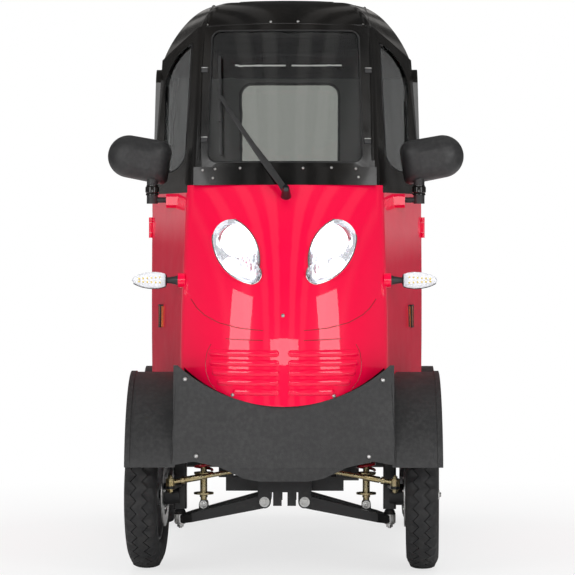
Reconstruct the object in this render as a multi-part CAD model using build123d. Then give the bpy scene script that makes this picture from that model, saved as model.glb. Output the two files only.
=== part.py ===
from build123d import *
import os
from math import cos, radians, sin

# A moped car: an enclosed one-seat cabin on four small wheels, steered by a handlebar.
# Millimetres. X runs to the car's left, Y backwards and Z up. The origin is on the road, in the middle of the car.

# Driving sizes of the whole car.
overall_length = 1700.0
body_width = 800.0
wheelbase = 1150.0
front_overhang = 300.0
front_track = 776.0
rear_track = 824.0
rest_steer_degrees = -3.0

# Heights of the body's main breaks above the road.
sill_z = 300.0
waist_z = 1079.0
side_waist_z = 1058.0
rail_front_z = 1545.0
rail_side_z = 1455.0
frame_top_z = 1565.0

# Shared clearances and small walls.
running_clearance = 0.05
open_pivot_clearance = 0.5
seat_gap = 0.3
moving_gap = 5.0
overrun = 50.0
match_tolerance = 0.01

# Walls of the body and the depth of its curves.
body_wall = 14.0
frame_wall = 16.0
roof_wall = 9.0
nose_lead = 11.0
nose_rake = 240.0
nose_bulge = 140.0
nose_corner_radius = 55.0
tail_corner_radius = 75.0
tail_clearance = 18.0
tail_rake = 32.0

# Doors, seen from the side.
door_front_y = -150.0
door_rear_y = 400.0
door_thickness = 28.0
door_bottom_z = 330.0
door_top_z = 1430.0
door_split_z = 1030.0
hinge_radius = 6.0
hinge_stand_off = 3.0

front_end = -overall_length / 2
rear_end = overall_length / 2
front_axle_y = front_end + front_overhang
rear_axle_y = front_axle_y + wheelbase
half_body = body_width / 2
tail_y = rear_end - tail_clearance

# Wheels: a 90/90-10 tyre on a cast rim.
tyre_width = 90.0
tyre_radius = 208.0
bead_radius = 128.0
tread_width = 66.0
tread_crown = 4.0
shoulder_drop = 26.0
bead_width = 68.0
rim_flange = 7.0
rim_wall = 5.0
rim_disc = 10.0
hub_radius = 30.0
hub_length = 70.0
spindle_radius = 12.0
rim_window_radius = 17.0
rim_windows = 6
front_wheel_x = front_track / 2
rear_wheel_x = rear_track / 2
wheel_z = tyre_radius


def mirrored(shape):
    """The same piece on the other side of the car."""
    return mirror(shape, about=Plane.YZ)


def pair(shape):
    """One piece on each side of the car."""
    return [shape, mirrored(shape)]


def block(x0, x1, y0, y1, z0, z1):
    """A box between two corners."""
    return Pos((x0 + x1) / 2, (y0 + y1) / 2, (z0 + z1) / 2) * Box(x1 - x0, y1 - y0, z1 - z0)


def rod(start, end, radius):
    """A round bar between two points."""
    a, b = Vector(*start), Vector(*end)
    return Part() + Solid.make_cylinder(radius, (b - a).length, Plane(origin=a, z_dir=b - a))


def along_x(face, x0, x1):
    """A side view drawn in Y and Z, made thick across the car."""
    return extrude(Plane.YZ.offset(x0) * face, amount=x1 - x0)


def along_y(face, y0, y1):
    """A front view drawn in X and Z, made thick along the car."""
    return extrude(Plane.XZ.offset(-y1) * face, amount=y1 - y0)


def along_z(face, z0, z1):
    """A plan drawn in X and Y, made thick upwards."""
    return extrude(Plane.XY.offset(z0) * face, amount=z1 - z0)


def outline(*edges):
    """A flat face inside a closed run of edges."""
    return make_face(Curve() + list(edges))


def rounded_box_face(u0, u1, v0, v1, radius):
    """A rectangle with round corners between two corners."""
    return Pos((u0 + u1) / 2, (v0 + v1) / 2) * RectangleRounded(u1 - u0, v1 - v0, radius)


def write(node, *shapes):
    """Store the solids of one named piece."""
    solids = [solid for shape in shapes for solid in shape.solids()]
    whole = solids[0] if len(solids) == 1 else Compound(children=solids)
    export_step(whole, f"parts/{node}.step")


# Plans of the lower body from the sill up: height, setback of the nose, half width at the nose's corner, depth of
# the front curve, half width at the doors, setback of the tail. Heights are shares from sill to waist.
lower_plan_shares = [
    (0.00, 0.12, 0.66, 0.85, 0.985, 0.35),
    (0.38, 0.00, 0.71, 1.00, 1.000, 0.00),
    (0.68, 0.25, 0.70, 0.95, 1.000, 0.30),
    (1.00, 1.00, 0.68, 0.50, 0.995, 1.00),
]

# The cabin above the waist, at its foot and at its top.
cabin_nose_y = -590.0
cabin_nose_top_y = -424.0
cabin_bulge = 62.0
cabin_top_bulge = 30.0
cabin_corner_x = 266.0
cabin_corner_top_x = 246.0
cabin_foot_x = 398.0
cabin_top_x = 360.0
cabin_tail_top_y = 722.0
cabin_corner_radius = 24.0

# Plans of the roof upwards from the rail: height, nose, corner half width, corner depth, side half width, tail.
# Heights are shares from the frame's side rail to the crown, lengths and widths shares of the rail's own.
crown_z = 1628.0
roof_plan_shares = [
    (0.42, 0.925, 0.970, 0.90, 0.885, 0.972),
    (0.74, 0.850, 0.860, 0.70, 0.752, 0.925),
    (0.92, 0.660, 0.650, 0.55, 0.590, 0.820),
    (1.00, 0.410, 0.380, 0.40, 0.370, 0.640),
]


def plan_face(nose_y, corner_x, depth, side_x, back_y, corner_radius, inset=0.0):
    """The body's outline from above, with its walls moved in by inset."""
    corner = corner_x - inset
    side = side_x - inset
    corner_y = nose_y + depth + inset
    back = back_y - inset
    face = outline(
        ThreePointArc((-corner, corner_y), (0, nose_y + inset), (corner, corner_y)),
        Line((corner, corner_y), (side, door_front_y)),
        Line((side, door_front_y), (side, back)),
        Line((side, back), (-side, back)),
        Line((-side, back), (-side, door_front_y)),
        Line((-side, door_front_y), (-corner, corner_y)),
    )
    nose_corners = [v for v in face.vertices() if abs(v.Y - corner_y) < match_tolerance]
    face = fillet(nose_corners, corner_radius - min(inset, corner_radius / 2))
    tail_corners = [v for v in face.vertices() if abs(v.Y - back) < match_tolerance]
    return fillet(tail_corners, tail_corner_radius - inset)


def lower_body(inset=0.0):
    """The whole body below the waist as one solid, with its walls moved in by inset."""
    sections = []
    for height, setback, corner, depth, side, tail in lower_plan_shares:
        face = plan_face(
            front_end + nose_lead + setback * nose_rake, corner * half_body, depth * nose_bulge, side * half_body,
            tail_y - tail * tail_rake, nose_corner_radius, inset,
        )
        sections.append(Pos(0, 0, sill_z + height * (waist_z - sill_z)) * face)
    return loft(sections)


def cabin_values(z):
    """Nose, corner, depth, side and tail of the cabin's straight walls at one height."""
    share = (z - side_waist_z) / (frame_top_z - side_waist_z)
    ends = [
        (cabin_nose_y, cabin_nose_top_y), (cabin_corner_x, cabin_corner_top_x), (cabin_bulge, cabin_top_bulge),
        (cabin_foot_x, cabin_top_x), (tail_y - tail_rake, cabin_tail_top_y),
    ]
    return [low + share * (high - low) for low, high in ends]


def cabin_nose_at(z):
    """How far forward the windshield's middle line lies at one height."""
    return cabin_values(z)[0]


def cabin_body(inset=0.0):
    """The whole cabin between waist and roof as one solid, with its walls moved in by inset."""
    sections = []
    for z in (side_waist_z, frame_top_z):
        sections.append(Pos(0, 0, z) * plan_face(*cabin_values(z), cabin_corner_radius, inset))
    return loft(sections, ruled=True)


def below_rail():
    """Everything under the line where the roof meets the cabin's frame."""
    far = overall_length
    side = Polyline(
        (-far, 0), (-far, rail_front_z), (cabin_nose_at(rail_front_z), rail_front_z),
        (door_front_y, rail_side_z), (far, rail_side_z), (far, 0), close=True,
    )
    return along_x(make_face(side), -far, far)


def roof_body(drop=0.0):
    """The domed roof down to below its rail, sunk and narrowed by drop."""
    rail = cabin_values(rail_side_z - overrun)
    sections = [Pos(0, 0, rail_side_z - overrun) * plan_face(*rail, cabin_corner_radius, drop)]
    nose, corner, depth, side, tail = cabin_values(rail_side_z)
    for height, nose_s, corner_s, depth_s, side_s, tail_s in roof_plan_shares:
        face = plan_face(
            nose * nose_s, corner * corner_s, depth * depth_s, side * side_s, tail * tail_s, cabin_corner_radius, drop,
        )
        sections.append(Pos(0, 0, rail_side_z + height * (crown_z - rail_side_z) - drop) * face)
    return loft(sections)


# Front mudguard: a round arch over each wheel and an apron between them, one sheet.
guard_wall = 5.0
guard_radius = 312.0
guard_lift = 33.0
guard_outer_x = 432.0
guard_inner_x = 300.0
guard_front_bottom_z = 310.0
guard_rear_bottom_z = 290.0
guard_lip = 14.0
guard_lip_rise = 3.0
apron_top_z = 585.0
apron_lean = 40.0
apron_bottom_z = 272.0
# The apron's lower edge: half width as a share of the arch's inner face, rise as a share of the arch's own bottom.
apron_edge_shares = [(0.22, 0.00), (0.36, 0.20), (0.58, 1.02), (0.81, 1.42), (1.00, 1.16)]

# Rear mudguards, the like on the rear wheels, joined by a bumper.
rear_guard_radius = 245.0
rear_guard_top_z = 511.0
rear_guard_outer_x = 466.0
rear_guard_bottom_z = 262.0
bumper_bottom_z = 330.0
bumper_top_z = 420.0
bumper_depth = tail_clearance
plate_hole_x = 75.0
plate_hole_radius = 3.5


def arch_ring(axle_y, centre_z, radius, wall, x0, x1, front_z, rear_z):
    """A round sheet over one wheel between two heights in front of and behind it."""
    ring = Pos(axle_y, centre_z) * (Circle(radius) - Circle(radius - wall))
    sheet = along_x(ring, x0, x1)
    sheet -= block(x0 - overrun, x1 + overrun, axle_y - 2 * radius, axle_y, 0, front_z)
    sheet -= block(x0 - overrun, x1 + overrun, axle_y, axle_y + 2 * radius, -overrun, rear_z)
    low = block(x0 - overrun, x1 + overrun, axle_y - 2 * radius, axle_y + 2 * radius, -2 * radius, 0)
    return sheet - low


def guard_centre_z():
    return wheel_z + guard_lift


def guard_centre_y():
    return front_end + guard_radius - (guard_radius - (guard_radius**2 - (guard_front_bottom_z - guard_centre_z()) ** 2) ** 0.5)


def make_front_mudguard(nose, panels):
    """Both front wheel arches and the apron under the nose, one moulded sheet."""
    arch_y = guard_centre_y()
    arch = arch_ring(
        arch_y, guard_centre_z(), guard_radius, guard_wall, guard_inner_x, guard_outer_x,
        guard_front_bottom_z, guard_rear_bottom_z,
    )
    arch += arch_ring(
        arch_y, guard_centre_z(), guard_radius + guard_lip_rise, guard_lip_rise + guard_wall / 2,
        guard_outer_x - guard_lip, guard_outer_x, guard_front_bottom_z, guard_rear_bottom_z,
    )
    arch -= block(0, 2 * guard_outer_x, front_end - overrun, front_end, 0, waist_z)
    side = Polyline(
        (front_end, 0), (front_end, guard_front_bottom_z), (front_end + apron_lean, apron_top_z),
        (front_end + apron_lean + guard_wall, apron_top_z), (front_end + guard_wall, guard_front_bottom_z),
        (front_end + guard_wall, 0), close=True,
    )
    apron = along_x(make_face(side), -guard_inner_x, guard_inner_x)
    rise = guard_front_bottom_z - apron_bottom_z
    right = [(x * guard_inner_x, apron_bottom_z + z * rise) for x, z in apron_edge_shares]
    left = [(-x, z) for x, z in reversed(right)]
    edge = Polyline(*left, *right, (guard_inner_x, 0), (-guard_inner_x, 0), close=True)
    apron -= along_y(make_face(edge), front_end - overrun, front_axle_y)
    apron &= Pos(0, 0, -seat_gap) * below_nose()
    gusset_side = Polyline(
        (front_end, guard_front_bottom_z), (front_end + apron_lean, apron_top_z),
        (arch_y, guard_centre_z() + guard_radius), (arch_y, guard_front_bottom_z), close=True,
    )
    gusset = along_x(make_face(gusset_side), guard_inner_x - guard_wall, guard_inner_x)
    hollow = Pos(arch_y, guard_centre_z()) * Circle(guard_radius - guard_wall)
    gusset -= along_x(hollow, guard_inner_x - overrun, guard_inner_x + overrun)
    whole = apron + arch + gusset + mirrored(arch) + mirrored(gusset)
    for neighbour in (nose, *panels):
        whole -= neighbour
    return max(whole.solids(), key=lambda solid: solid.volume)


def make_rear_mudguard():
    """Both rear wheel arches outside the body, joined by the bumper under the tail."""
    centre_z = rear_guard_top_z - rear_guard_radius
    arch = arch_ring(
        rear_axle_y, centre_z, rear_guard_radius, guard_wall, half_body - body_wall / 2, rear_guard_outer_x,
        rear_guard_bottom_z, rear_guard_bottom_z,
    )
    bar = block(-rear_guard_outer_x, rear_guard_outer_x, rear_end - bumper_depth, rear_end, bumper_bottom_z, bumper_top_z)
    bar = fillet(bar.edges().filter_by(Axis.Z), bumper_depth / 3)
    well = Pos(rear_axle_y, centre_z) * Circle(rear_guard_radius - guard_wall)
    bar -= along_x(well, -rear_guard_outer_x - overrun, rear_guard_outer_x + overrun)
    hole_z = (bumper_bottom_z + bumper_top_z) / 2
    for x in (-plate_hole_x, plate_hole_x):
        bar -= rod((x, rear_end - bumper_depth - overrun, hole_z), (x, rear_end + overrun, hole_z), plate_hole_radius)
    return (bar + arch + mirrored(arch)) - lower_body()


# Headlamps: a teardrop lens in the nose, wide outside and with its tip inwards and down. Corners of its four arcs,
# half width as a share of the nose's corner and height as a share of the lamp's own.
lamp_bottom_z = 804.0
lamp_height = 178.0
lamp_stand = 6.0
lamp_shares = [
    (0.715, 0.62), (0.660, 0.92), (0.500, 1.00), (0.328, 0.78), (0.246, 0.26),
    (0.254, 0.05), (0.332, 0.01), (0.554, 0.18),
]

# Raised bars of the grille: height as a share from apron top to lamp, half width as a share of the nose's corner.
bar_height = 23.0
bar_stand = 5.0
bar_inner_x = 21.0
grille_low_z = 513.0
grille_pitch = 26.0
grille_reach_shares = [0.46, 0.62, 0.67, 0.695, 0.70]

# The nose ends in an arc below and at a seam beside the lamps.
nose_bottom_z = 474.0
nose_bottom_radius = 431.0
nose_seam_x = 276.0


def below_nose():
    """Everything in front under the arc that ends the nose."""
    round_end = Pos(0, nose_bottom_z + nose_bottom_radius) * Circle(nose_bottom_radius)
    under = block(-half_body, half_body, front_end - overrun, 0, 0, nose_bottom_z + nose_bottom_radius)
    return under - along_y(round_end, front_end - 2 * overrun, overrun)


def lamp_face(gap=0.0):
    """The left headlamp's outline from the front, grown by gap."""
    corner = nose_seam_x
    points = [(x * corner, lamp_bottom_z + z * lamp_height) for x, z in lamp_shares]
    arcs = [ThreePointArc(points[i], points[i + 1], points[(i + 2) % len(points)]) for i in range(0, len(points), 2)]
    face = outline(*arcs)
    return offset(face, amount=gap) if gap else face


def make_headlamps(outer, inner):
    """Both lenses, standing just proud of the nose."""
    depth_end = front_end + nose_rake + nose_bulge
    body = along_y(lamp_face(), front_end - overrun, depth_end) & outer
    return pair(body - inner)


def surface_y(body, x, z):
    """Where a line along Y first meets a body, at one width and height."""
    inside = body & Line((x, front_end - overrun, z), (x, 0, z))
    return inside.bounding_box().min.Y


def make_nose(shell):
    """The nose panel with its lamp openings and the round bars of its grille."""
    keep = block(-nose_seam_x, nose_seam_x, front_end - overrun, front_axle_y + nose_bulge, sill_z, waist_z)
    nose = (shell & keep) - below_nose()
    for opening in pair(along_y(lamp_face(seat_gap), front_end - overrun, front_end + nose_rake + nose_bulge)):
        nose -= opening
    skin, back = lower_body(), lower_body(body_wall / 2)
    for row, reach in enumerate(grille_reach_shares):
        z = grille_low_z + row * grille_pitch
        outer_x = reach * nose_seam_x
        points = [
            (x, surface_y(skin, x, z) + bar_height / 2 - bar_stand, z)
            for x in (bar_inner_x, (bar_inner_x + outer_x) / 2, outer_x)
        ]
        path = ThreePointArc(*points)
        bar = sweep((path ^ 0) * Circle(bar_height / 2), path)
        for end in (points[0], points[-1]):
            bar += Pos(*end) * Sphere(bar_height / 2)
        nose += pair(bar - back)
    return nose


# Indicators on short stalks beside the nose, and the red block that carries each mirror's arm.
indicator_z = 813.0
indicator_y = -640.0
indicator_tip_x = 425.0
indicator_lens_x = 330.0
indicator_radius = 24.0
indicator_stalk_radius = 9.0
indicator_boss_radius = 20.0
indicator_boss_x = 296.0
mirror_block_x0 = 284.0
mirror_block_x1 = 341.0
mirror_block_z0 = 1016.0
mirror_block_z1 = 1056.0
mirror_block_y = -440.0
marker_z = 704.0
marker_x = 357.0
marker_height = 62.0
marker_length = 52.0
marker_depth = 12.0


def make_side_panels(shell):
    """The red panels between nose and doors, with the wheel arch cut, the indicator's boss and the mirror's block."""
    panel = shell & block(nose_seam_x, half_body + overrun, front_end, door_front_y, sill_z, side_waist_z)
    inner = lower_body(body_wall)
    arch = Pos(guard_centre_y(), guard_centre_z()) * Circle(guard_radius + seat_gap)
    panel -= along_x(arch, 0, half_body + overrun)
    boss = rod((nose_seam_x, indicator_y, indicator_z), (indicator_boss_x, indicator_y, indicator_z), indicator_boss_radius)
    rest = block(mirror_block_x0, mirror_block_x1, mirror_block_y, door_front_y, mirror_block_z0, mirror_block_z1)
    rest = chamfer(rest.edges().filter_by(Axis.X).group_by(Axis.Y)[0], (mirror_block_z1 - mirror_block_z0) / 5)
    for extra in (boss, rest):
        panel += extra - inner
    axis_x, axis_y = hinge_place()
    for z in hinge_heights:
        low, high = z - hinge_length / 2, z + hinge_length / 2
        for start, end in ((low - hinge_length, low), (high, high + hinge_length)):
            panel -= rod((axis_x, axis_y, start), (axis_x, axis_y, end), hinge_radius + moving_gap / 5)
        panel += rod((axis_x, axis_y, low), (axis_x, axis_y, high), hinge_radius)
        panel += block(half_body - body_wall, axis_x, door_front_y - body_wall, axis_y, low, high)
    return pair(max(panel.solids(), key=lambda solid: solid.volume))


# Door hinges: a barrel on the panel between two on the door.
hinge_length = 30.0
hinge_heights = [480.0, 960.0]


def hinge_place():
    """Where the left door's hinge axis stands."""
    return half_body + hinge_stand_off, door_front_y + hinge_radius / 2


def make_indicators():
    """A stalk with a lens that tapers outwards, on each side."""
    middle_x = indicator_lens_x + (indicator_tip_x - indicator_lens_x) / 3
    profile = outline(
        Line((indicator_lens_x, 0), (indicator_lens_x, indicator_radius / 2)),
        ThreePointArc(
            (indicator_lens_x, indicator_radius / 2), (middle_x, indicator_radius), (indicator_tip_x, indicator_radius / 4)
        ),
        Line((indicator_tip_x, indicator_radius / 4), (indicator_tip_x, 0)),
        Line((indicator_tip_x, 0), (indicator_lens_x, 0)),
    )
    lens = Pos(0, indicator_y, indicator_z) * revolve(Plane.XY * profile, Axis.X)
    stalk = rod(
        (indicator_boss_x, indicator_y, indicator_z), (indicator_lens_x + indicator_stalk_radius / 9, indicator_y, indicator_z), indicator_stalk_radius
    )
    return pair(lens + stalk)


def make_side_markers():
    """A small upright lamp ahead of each door."""
    lamp = block(marker_x - marker_depth, marker_x + marker_depth, marker_y - marker_length / 2,
                 marker_y + marker_length / 2, marker_z - marker_height / 2, marker_z + marker_height / 2)
    return pair((lamp & lower_body(-marker_stand)) - lower_body())


marker_y = -330.0
marker_stand = 7.0

# Openings of the glass, seen from the front.
screen_bottom_z = 1142.0
screen_top_z = 1524.0
screen_half = 221.0
screen_top_half = 212.0
screen_radius = 28.0
glass_thickness = 5.0
# Outline of the left corner window: width shares run from corner to side, heights from its foot to its top.
corner_glass_x0 = 268.0
corner_glass_x1 = 360.0
corner_glass_z0 = 1118.0
corner_glass_z1 = 1492.0
corner_glass_shares = [
    (0.00, 1.00), (0.70, 0.865), (0.97, 0.565), (1.00, 0.05), (0.84, 0.00), (0.38, 0.045), (0.16, 0.19),
]
rear_glass_half = 171.0
rear_glass_bottom_z = 1118.0
rear_glass_top_z = 1438.0
rear_glass_radius = 45.0
side_pane_front_y = 470.0
side_pane_rear_y = 655.0
side_pane_bottom_z = 1110.0
side_pane_top_z = 1385.0


def screen_face(gap=0.0):
    """The windshield's outline from the front."""
    corners = Polyline(
        (-screen_half, screen_bottom_z), (screen_half, screen_bottom_z), (screen_top_half, screen_top_z),
        (-screen_top_half, screen_top_z), close=True,
    )
    face = make_face(corners)
    face = fillet(face.vertices(), screen_radius)
    return offset(face, amount=-gap) if gap else face


def corner_glass_face(gap=0.0):
    """The left corner window's outline from the front: straight inside, round towards the door."""
    width = corner_glass_x1 - corner_glass_x0
    height = corner_glass_z1 - corner_glass_z0
    p = [(corner_glass_x0 + x * width, corner_glass_z0 + z * height) for x, z in corner_glass_shares]
    face = outline(
        ThreePointArc(p[0], p[1], p[2]), Line(p[2], p[3]), Line(p[3], p[4]), ThreePointArc(p[4], p[5], p[6]),
        Line(p[6], p[0]),
    )
    return offset(face, amount=-gap) if gap else face


def glass_sheet():
    """A thin curved sheet in the middle of the cabin's walls."""
    middle = (frame_wall - glass_thickness) / 2
    return cabin_body(middle) - cabin_body(middle + glass_thickness)


def front_cut(face):
    """A cut through the front of the cabin."""
    return along_y(face, front_end, door_front_y)


def side_pane_face(gap=0.0):
    return rounded_box_face(
        side_pane_front_y + gap, side_pane_rear_y - gap, side_pane_bottom_z + gap, side_pane_top_z - gap, rear_glass_radius,
    )


def rear_glass_face(gap=0.0):
    return rounded_box_face(
        gap - rear_glass_half, rear_glass_half - gap, rear_glass_bottom_z + gap, rear_glass_top_z - gap, rear_glass_radius,
    )


def make_cabin_frame(shell):
    """Pillars and frames of the glass around the cabin, up to the roof's rail."""
    frame = shell & below_rail()
    frame -= block(-nose_seam_x, nose_seam_x, front_end, door_front_y, sill_z, waist_z)
    frame -= front_cut(screen_face())
    for cut in pair(front_cut(corner_glass_face())):
        frame -= cut
    frame -= block(-half_body, half_body, door_front_y - seat_gap, door_rear_y + 2 * moving_gap, sill_z, door_top_z + moving_gap)
    frame -= along_y(rear_glass_face(), door_rear_y, rear_end)
    frame -= along_x(side_pane_face(), -half_body, half_body)
    return frame


def make_glass():
    """Windshield, corner panes, side panes and rear window, as lists of solids."""
    sheet = glass_sheet()
    windshield = sheet & front_cut(screen_face(seat_gap))
    corner = sheet & front_cut(corner_glass_face(seat_gap))
    rear = sheet & along_y(rear_glass_face(seat_gap), door_rear_y, rear_end)
    side = sheet & along_x(side_pane_face(seat_gap), 0, half_body)
    return windshield, pair(corner) + pair(side), rear


# Cowl at the foot of the windshield and the wiper that stands on it.
cowl_thickness = 16.0
cowl_top_z = 1130.0
cowl_half = 258.0
wiper_pivot_z = 1090.0
wiper_pivot_x = 0.0
wiper_boss_radius = 13.0
wiper_elbow_x = -185.0
wiper_elbow_z = 1329.0
wiper_blade_bottom_z = 1165.0
wiper_blade_top_z = 1450.0
wiper_arm_radius = 4.0
wiper_blade_depth = 16.0
wiper_blade_width = 8.0
wiper_stand = 16.0


def make_cowl():
    """The black moulding between nose and windshield."""
    cowl = cabin_body(-cowl_thickness) - cabin_body()
    return cowl & block(-cowl_half, cowl_half, front_end, door_front_y, waist_z, cowl_top_z)


def screen_y(x, z):
    """The windshield's outer face at one place, from its bulge."""
    nose, corner, depth, _, _ = cabin_values(z)
    return nose + depth * (x / corner) ** 2


def make_wiper():
    """One arm with a crank at its elbow and an upright blade on the glass."""
    def place(x, z, stand):
        return (x, screen_y(x, z) - stand, z)

    pivot = place(wiper_pivot_x, wiper_pivot_z, cowl_thickness + wiper_boss_radius)
    elbow = place(wiper_elbow_x, wiper_elbow_z, wiper_stand + wiper_blade_depth)
    bottom = place(wiper_elbow_x, wiper_blade_bottom_z, wiper_blade_depth / 2)
    top = place(wiper_elbow_x, wiper_blade_top_z, wiper_blade_depth / 2)
    root = place(wiper_pivot_x, wiper_pivot_z, cowl_thickness - seat_gap)
    wiper = rod(root, pivot, wiper_boss_radius) + rod(pivot, elbow, wiper_arm_radius)
    wiper += Pos(*elbow) * Sphere(wiper_arm_radius)
    wiper += rod(elbow, place(wiper_elbow_x, wiper_elbow_z, wiper_blade_depth / 2), wiper_arm_radius)
    wiper += rod(bottom, top, wiper_blade_width / 2)
    wiper -= cabin_body(-cowl_thickness) & block(-cowl_half, cowl_half, front_end, door_front_y, waist_z, cowl_top_z)
    return max((wiper - lower_body()).solids(), key=lambda solid: solid.volume)


def make_roof():
    """The domed roof skin, open below, on the cabin's rail."""
    return (roof_body() - roof_body(roof_wall)) - below_rail()


# Trunk lid in the tail, hinged at its top.
lid_half = 290.0
lid_bottom_z = 500.0
lid_top_z = 1030.0
tail_lamp_x0 = 305.0
tail_lamp_x1 = 372.0
tail_lamp_z0 = 700.0
tail_lamp_z1 = 880.0
tail_lamp_stand = 6.0
lid_hinge_x = 200.0
lid_hinge_radius = 6.0
lid_hinge_length = 24.0


def lid_hinge_place():
    """Where the lid's hinge axis stands, just outside the tail and between lid and body."""
    return tail_y - tail_rake + 2 * lid_hinge_radius, lid_top_z + moving_gap / 2


def lid_knuckle(start, end, rise):
    """One barrel of a lid hinge with its leaf, which points down to the lid or up to the body."""
    y, z = lid_hinge_place()
    z_low, z_high = sorted((z, z + rise))
    leaf = block(start, end, y - 2 * lid_hinge_radius, y, z_low, z_high)
    return leaf + rod((start, y, z), (end, y, z), lid_hinge_radius)


def make_rear_body(shell):
    """Red rear quarters and tail, with the wheels' arches and the trunk's opening cut."""
    body = shell & block(-half_body - overrun, half_body + overrun, door_rear_y + 2 * moving_gap, rear_end, bumper_bottom_z, side_waist_z)
    centre_z = rear_guard_top_z - rear_guard_radius
    arch = Pos(rear_axle_y, centre_z) * Circle(rear_guard_radius - guard_wall)
    body -= along_x(arch, -half_body - overrun, half_body + overrun)
    body -= block(
        -lid_half - moving_gap, lid_half + moving_gap, rear_axle_y, rear_end, lid_bottom_z - moving_gap, lid_top_z + moving_gap,
    )
    for x in (-lid_hinge_x, lid_hinge_x):
        body += lid_knuckle(x - lid_hinge_length / 2, x + lid_hinge_length / 2, 2 * lid_hinge_radius)
    return body


def make_trunk_lid(shell):
    """The lid of the trunk with its halves of the two hinges."""
    lid = shell & block(-lid_half, lid_half, rear_axle_y, rear_end, lid_bottom_z, lid_top_z)
    for x in (-lid_hinge_x, lid_hinge_x):
        for start in (x - lid_hinge_length - seat_gap, x + lid_hinge_length / 2 + seat_gap):
            lid += lid_knuckle(start, start + lid_hinge_length / 2, -2 * lid_hinge_radius)
    return lid


def make_tail_lamps():
    keep = block(tail_lamp_x0, tail_lamp_x1, rear_axle_y, rear_end, tail_lamp_z0, tail_lamp_z1)
    return pair((lower_body(-tail_lamp_stand) & keep) - lower_body())


# Floor, bulkhead and the deck over the rear wheels.
floor_wall = 10.0
bulkhead_y = -284.0
bulkhead_top_z = 560.0
deck_z = 455.0
riser_y = 300.0
sill_x = 345.0


def make_floor():
    """Floor pan with sills, a bulkhead in front and the raised deck behind, cut out over the front wheels."""
    half, tail = half_body, tail_y
    floor = block(-half, half, bulkhead_y, riser_y, sill_z, sill_z + floor_wall)
    floor += block(-half, half, bulkhead_y - floor_wall, bulkhead_y, sill_z, bulkhead_top_z)
    floor += block(-half, half, riser_y, riser_y + floor_wall, sill_z, deck_z)
    floor += block(-half, half, riser_y, tail, deck_z - floor_wall, deck_z)
    for sill in pair(block(sill_x, half, door_front_y, riser_y, sill_z, door_bottom_z - moving_gap)):
        floor += sill
    floor &= lower_body(body_wall + seat_gap)
    door_inner = lower_plan_shares[0][4] * half_body - door_thickness - moving_gap
    floor -= block(door_inner, half, door_front_y, door_rear_y + 2 * moving_gap, door_bottom_z - moving_gap, waist_z)
    floor -= block(-half, -door_inner, door_front_y, door_rear_y + 2 * moving_gap, door_bottom_z - moving_gap, waist_z)
    for side in (-1, 1):
        x0, x1 = sorted((side * guard_inner_x, side * (half + overrun)))
        floor -= along_x(Pos(guard_centre_y(), guard_centre_z()) * Circle(guard_radius + seat_gap), x0, x1)
    return floor


# Chassis: two rails that kick up over the rear axle, with a front box that carries the arms.
rail_x = 165.0
rail_size = 40.0
rail_top_z = sill_z
rail_front_y = -595.0
kick_y = riser_y + floor_wall
subframe_half = 75.0
subframe_depth = 176.0
subframe_bottom_z = 222.0
subframe_top_z = 268.0
tower_height = 470.0
tower_size = 26.0
lug_x0 = 8.0
lug_x1 = 32.0
lug_bottom_z = 184.0
lug_depth = 10.0
bearing_radius = 24.0
crossbar_radius = 14.0


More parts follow.
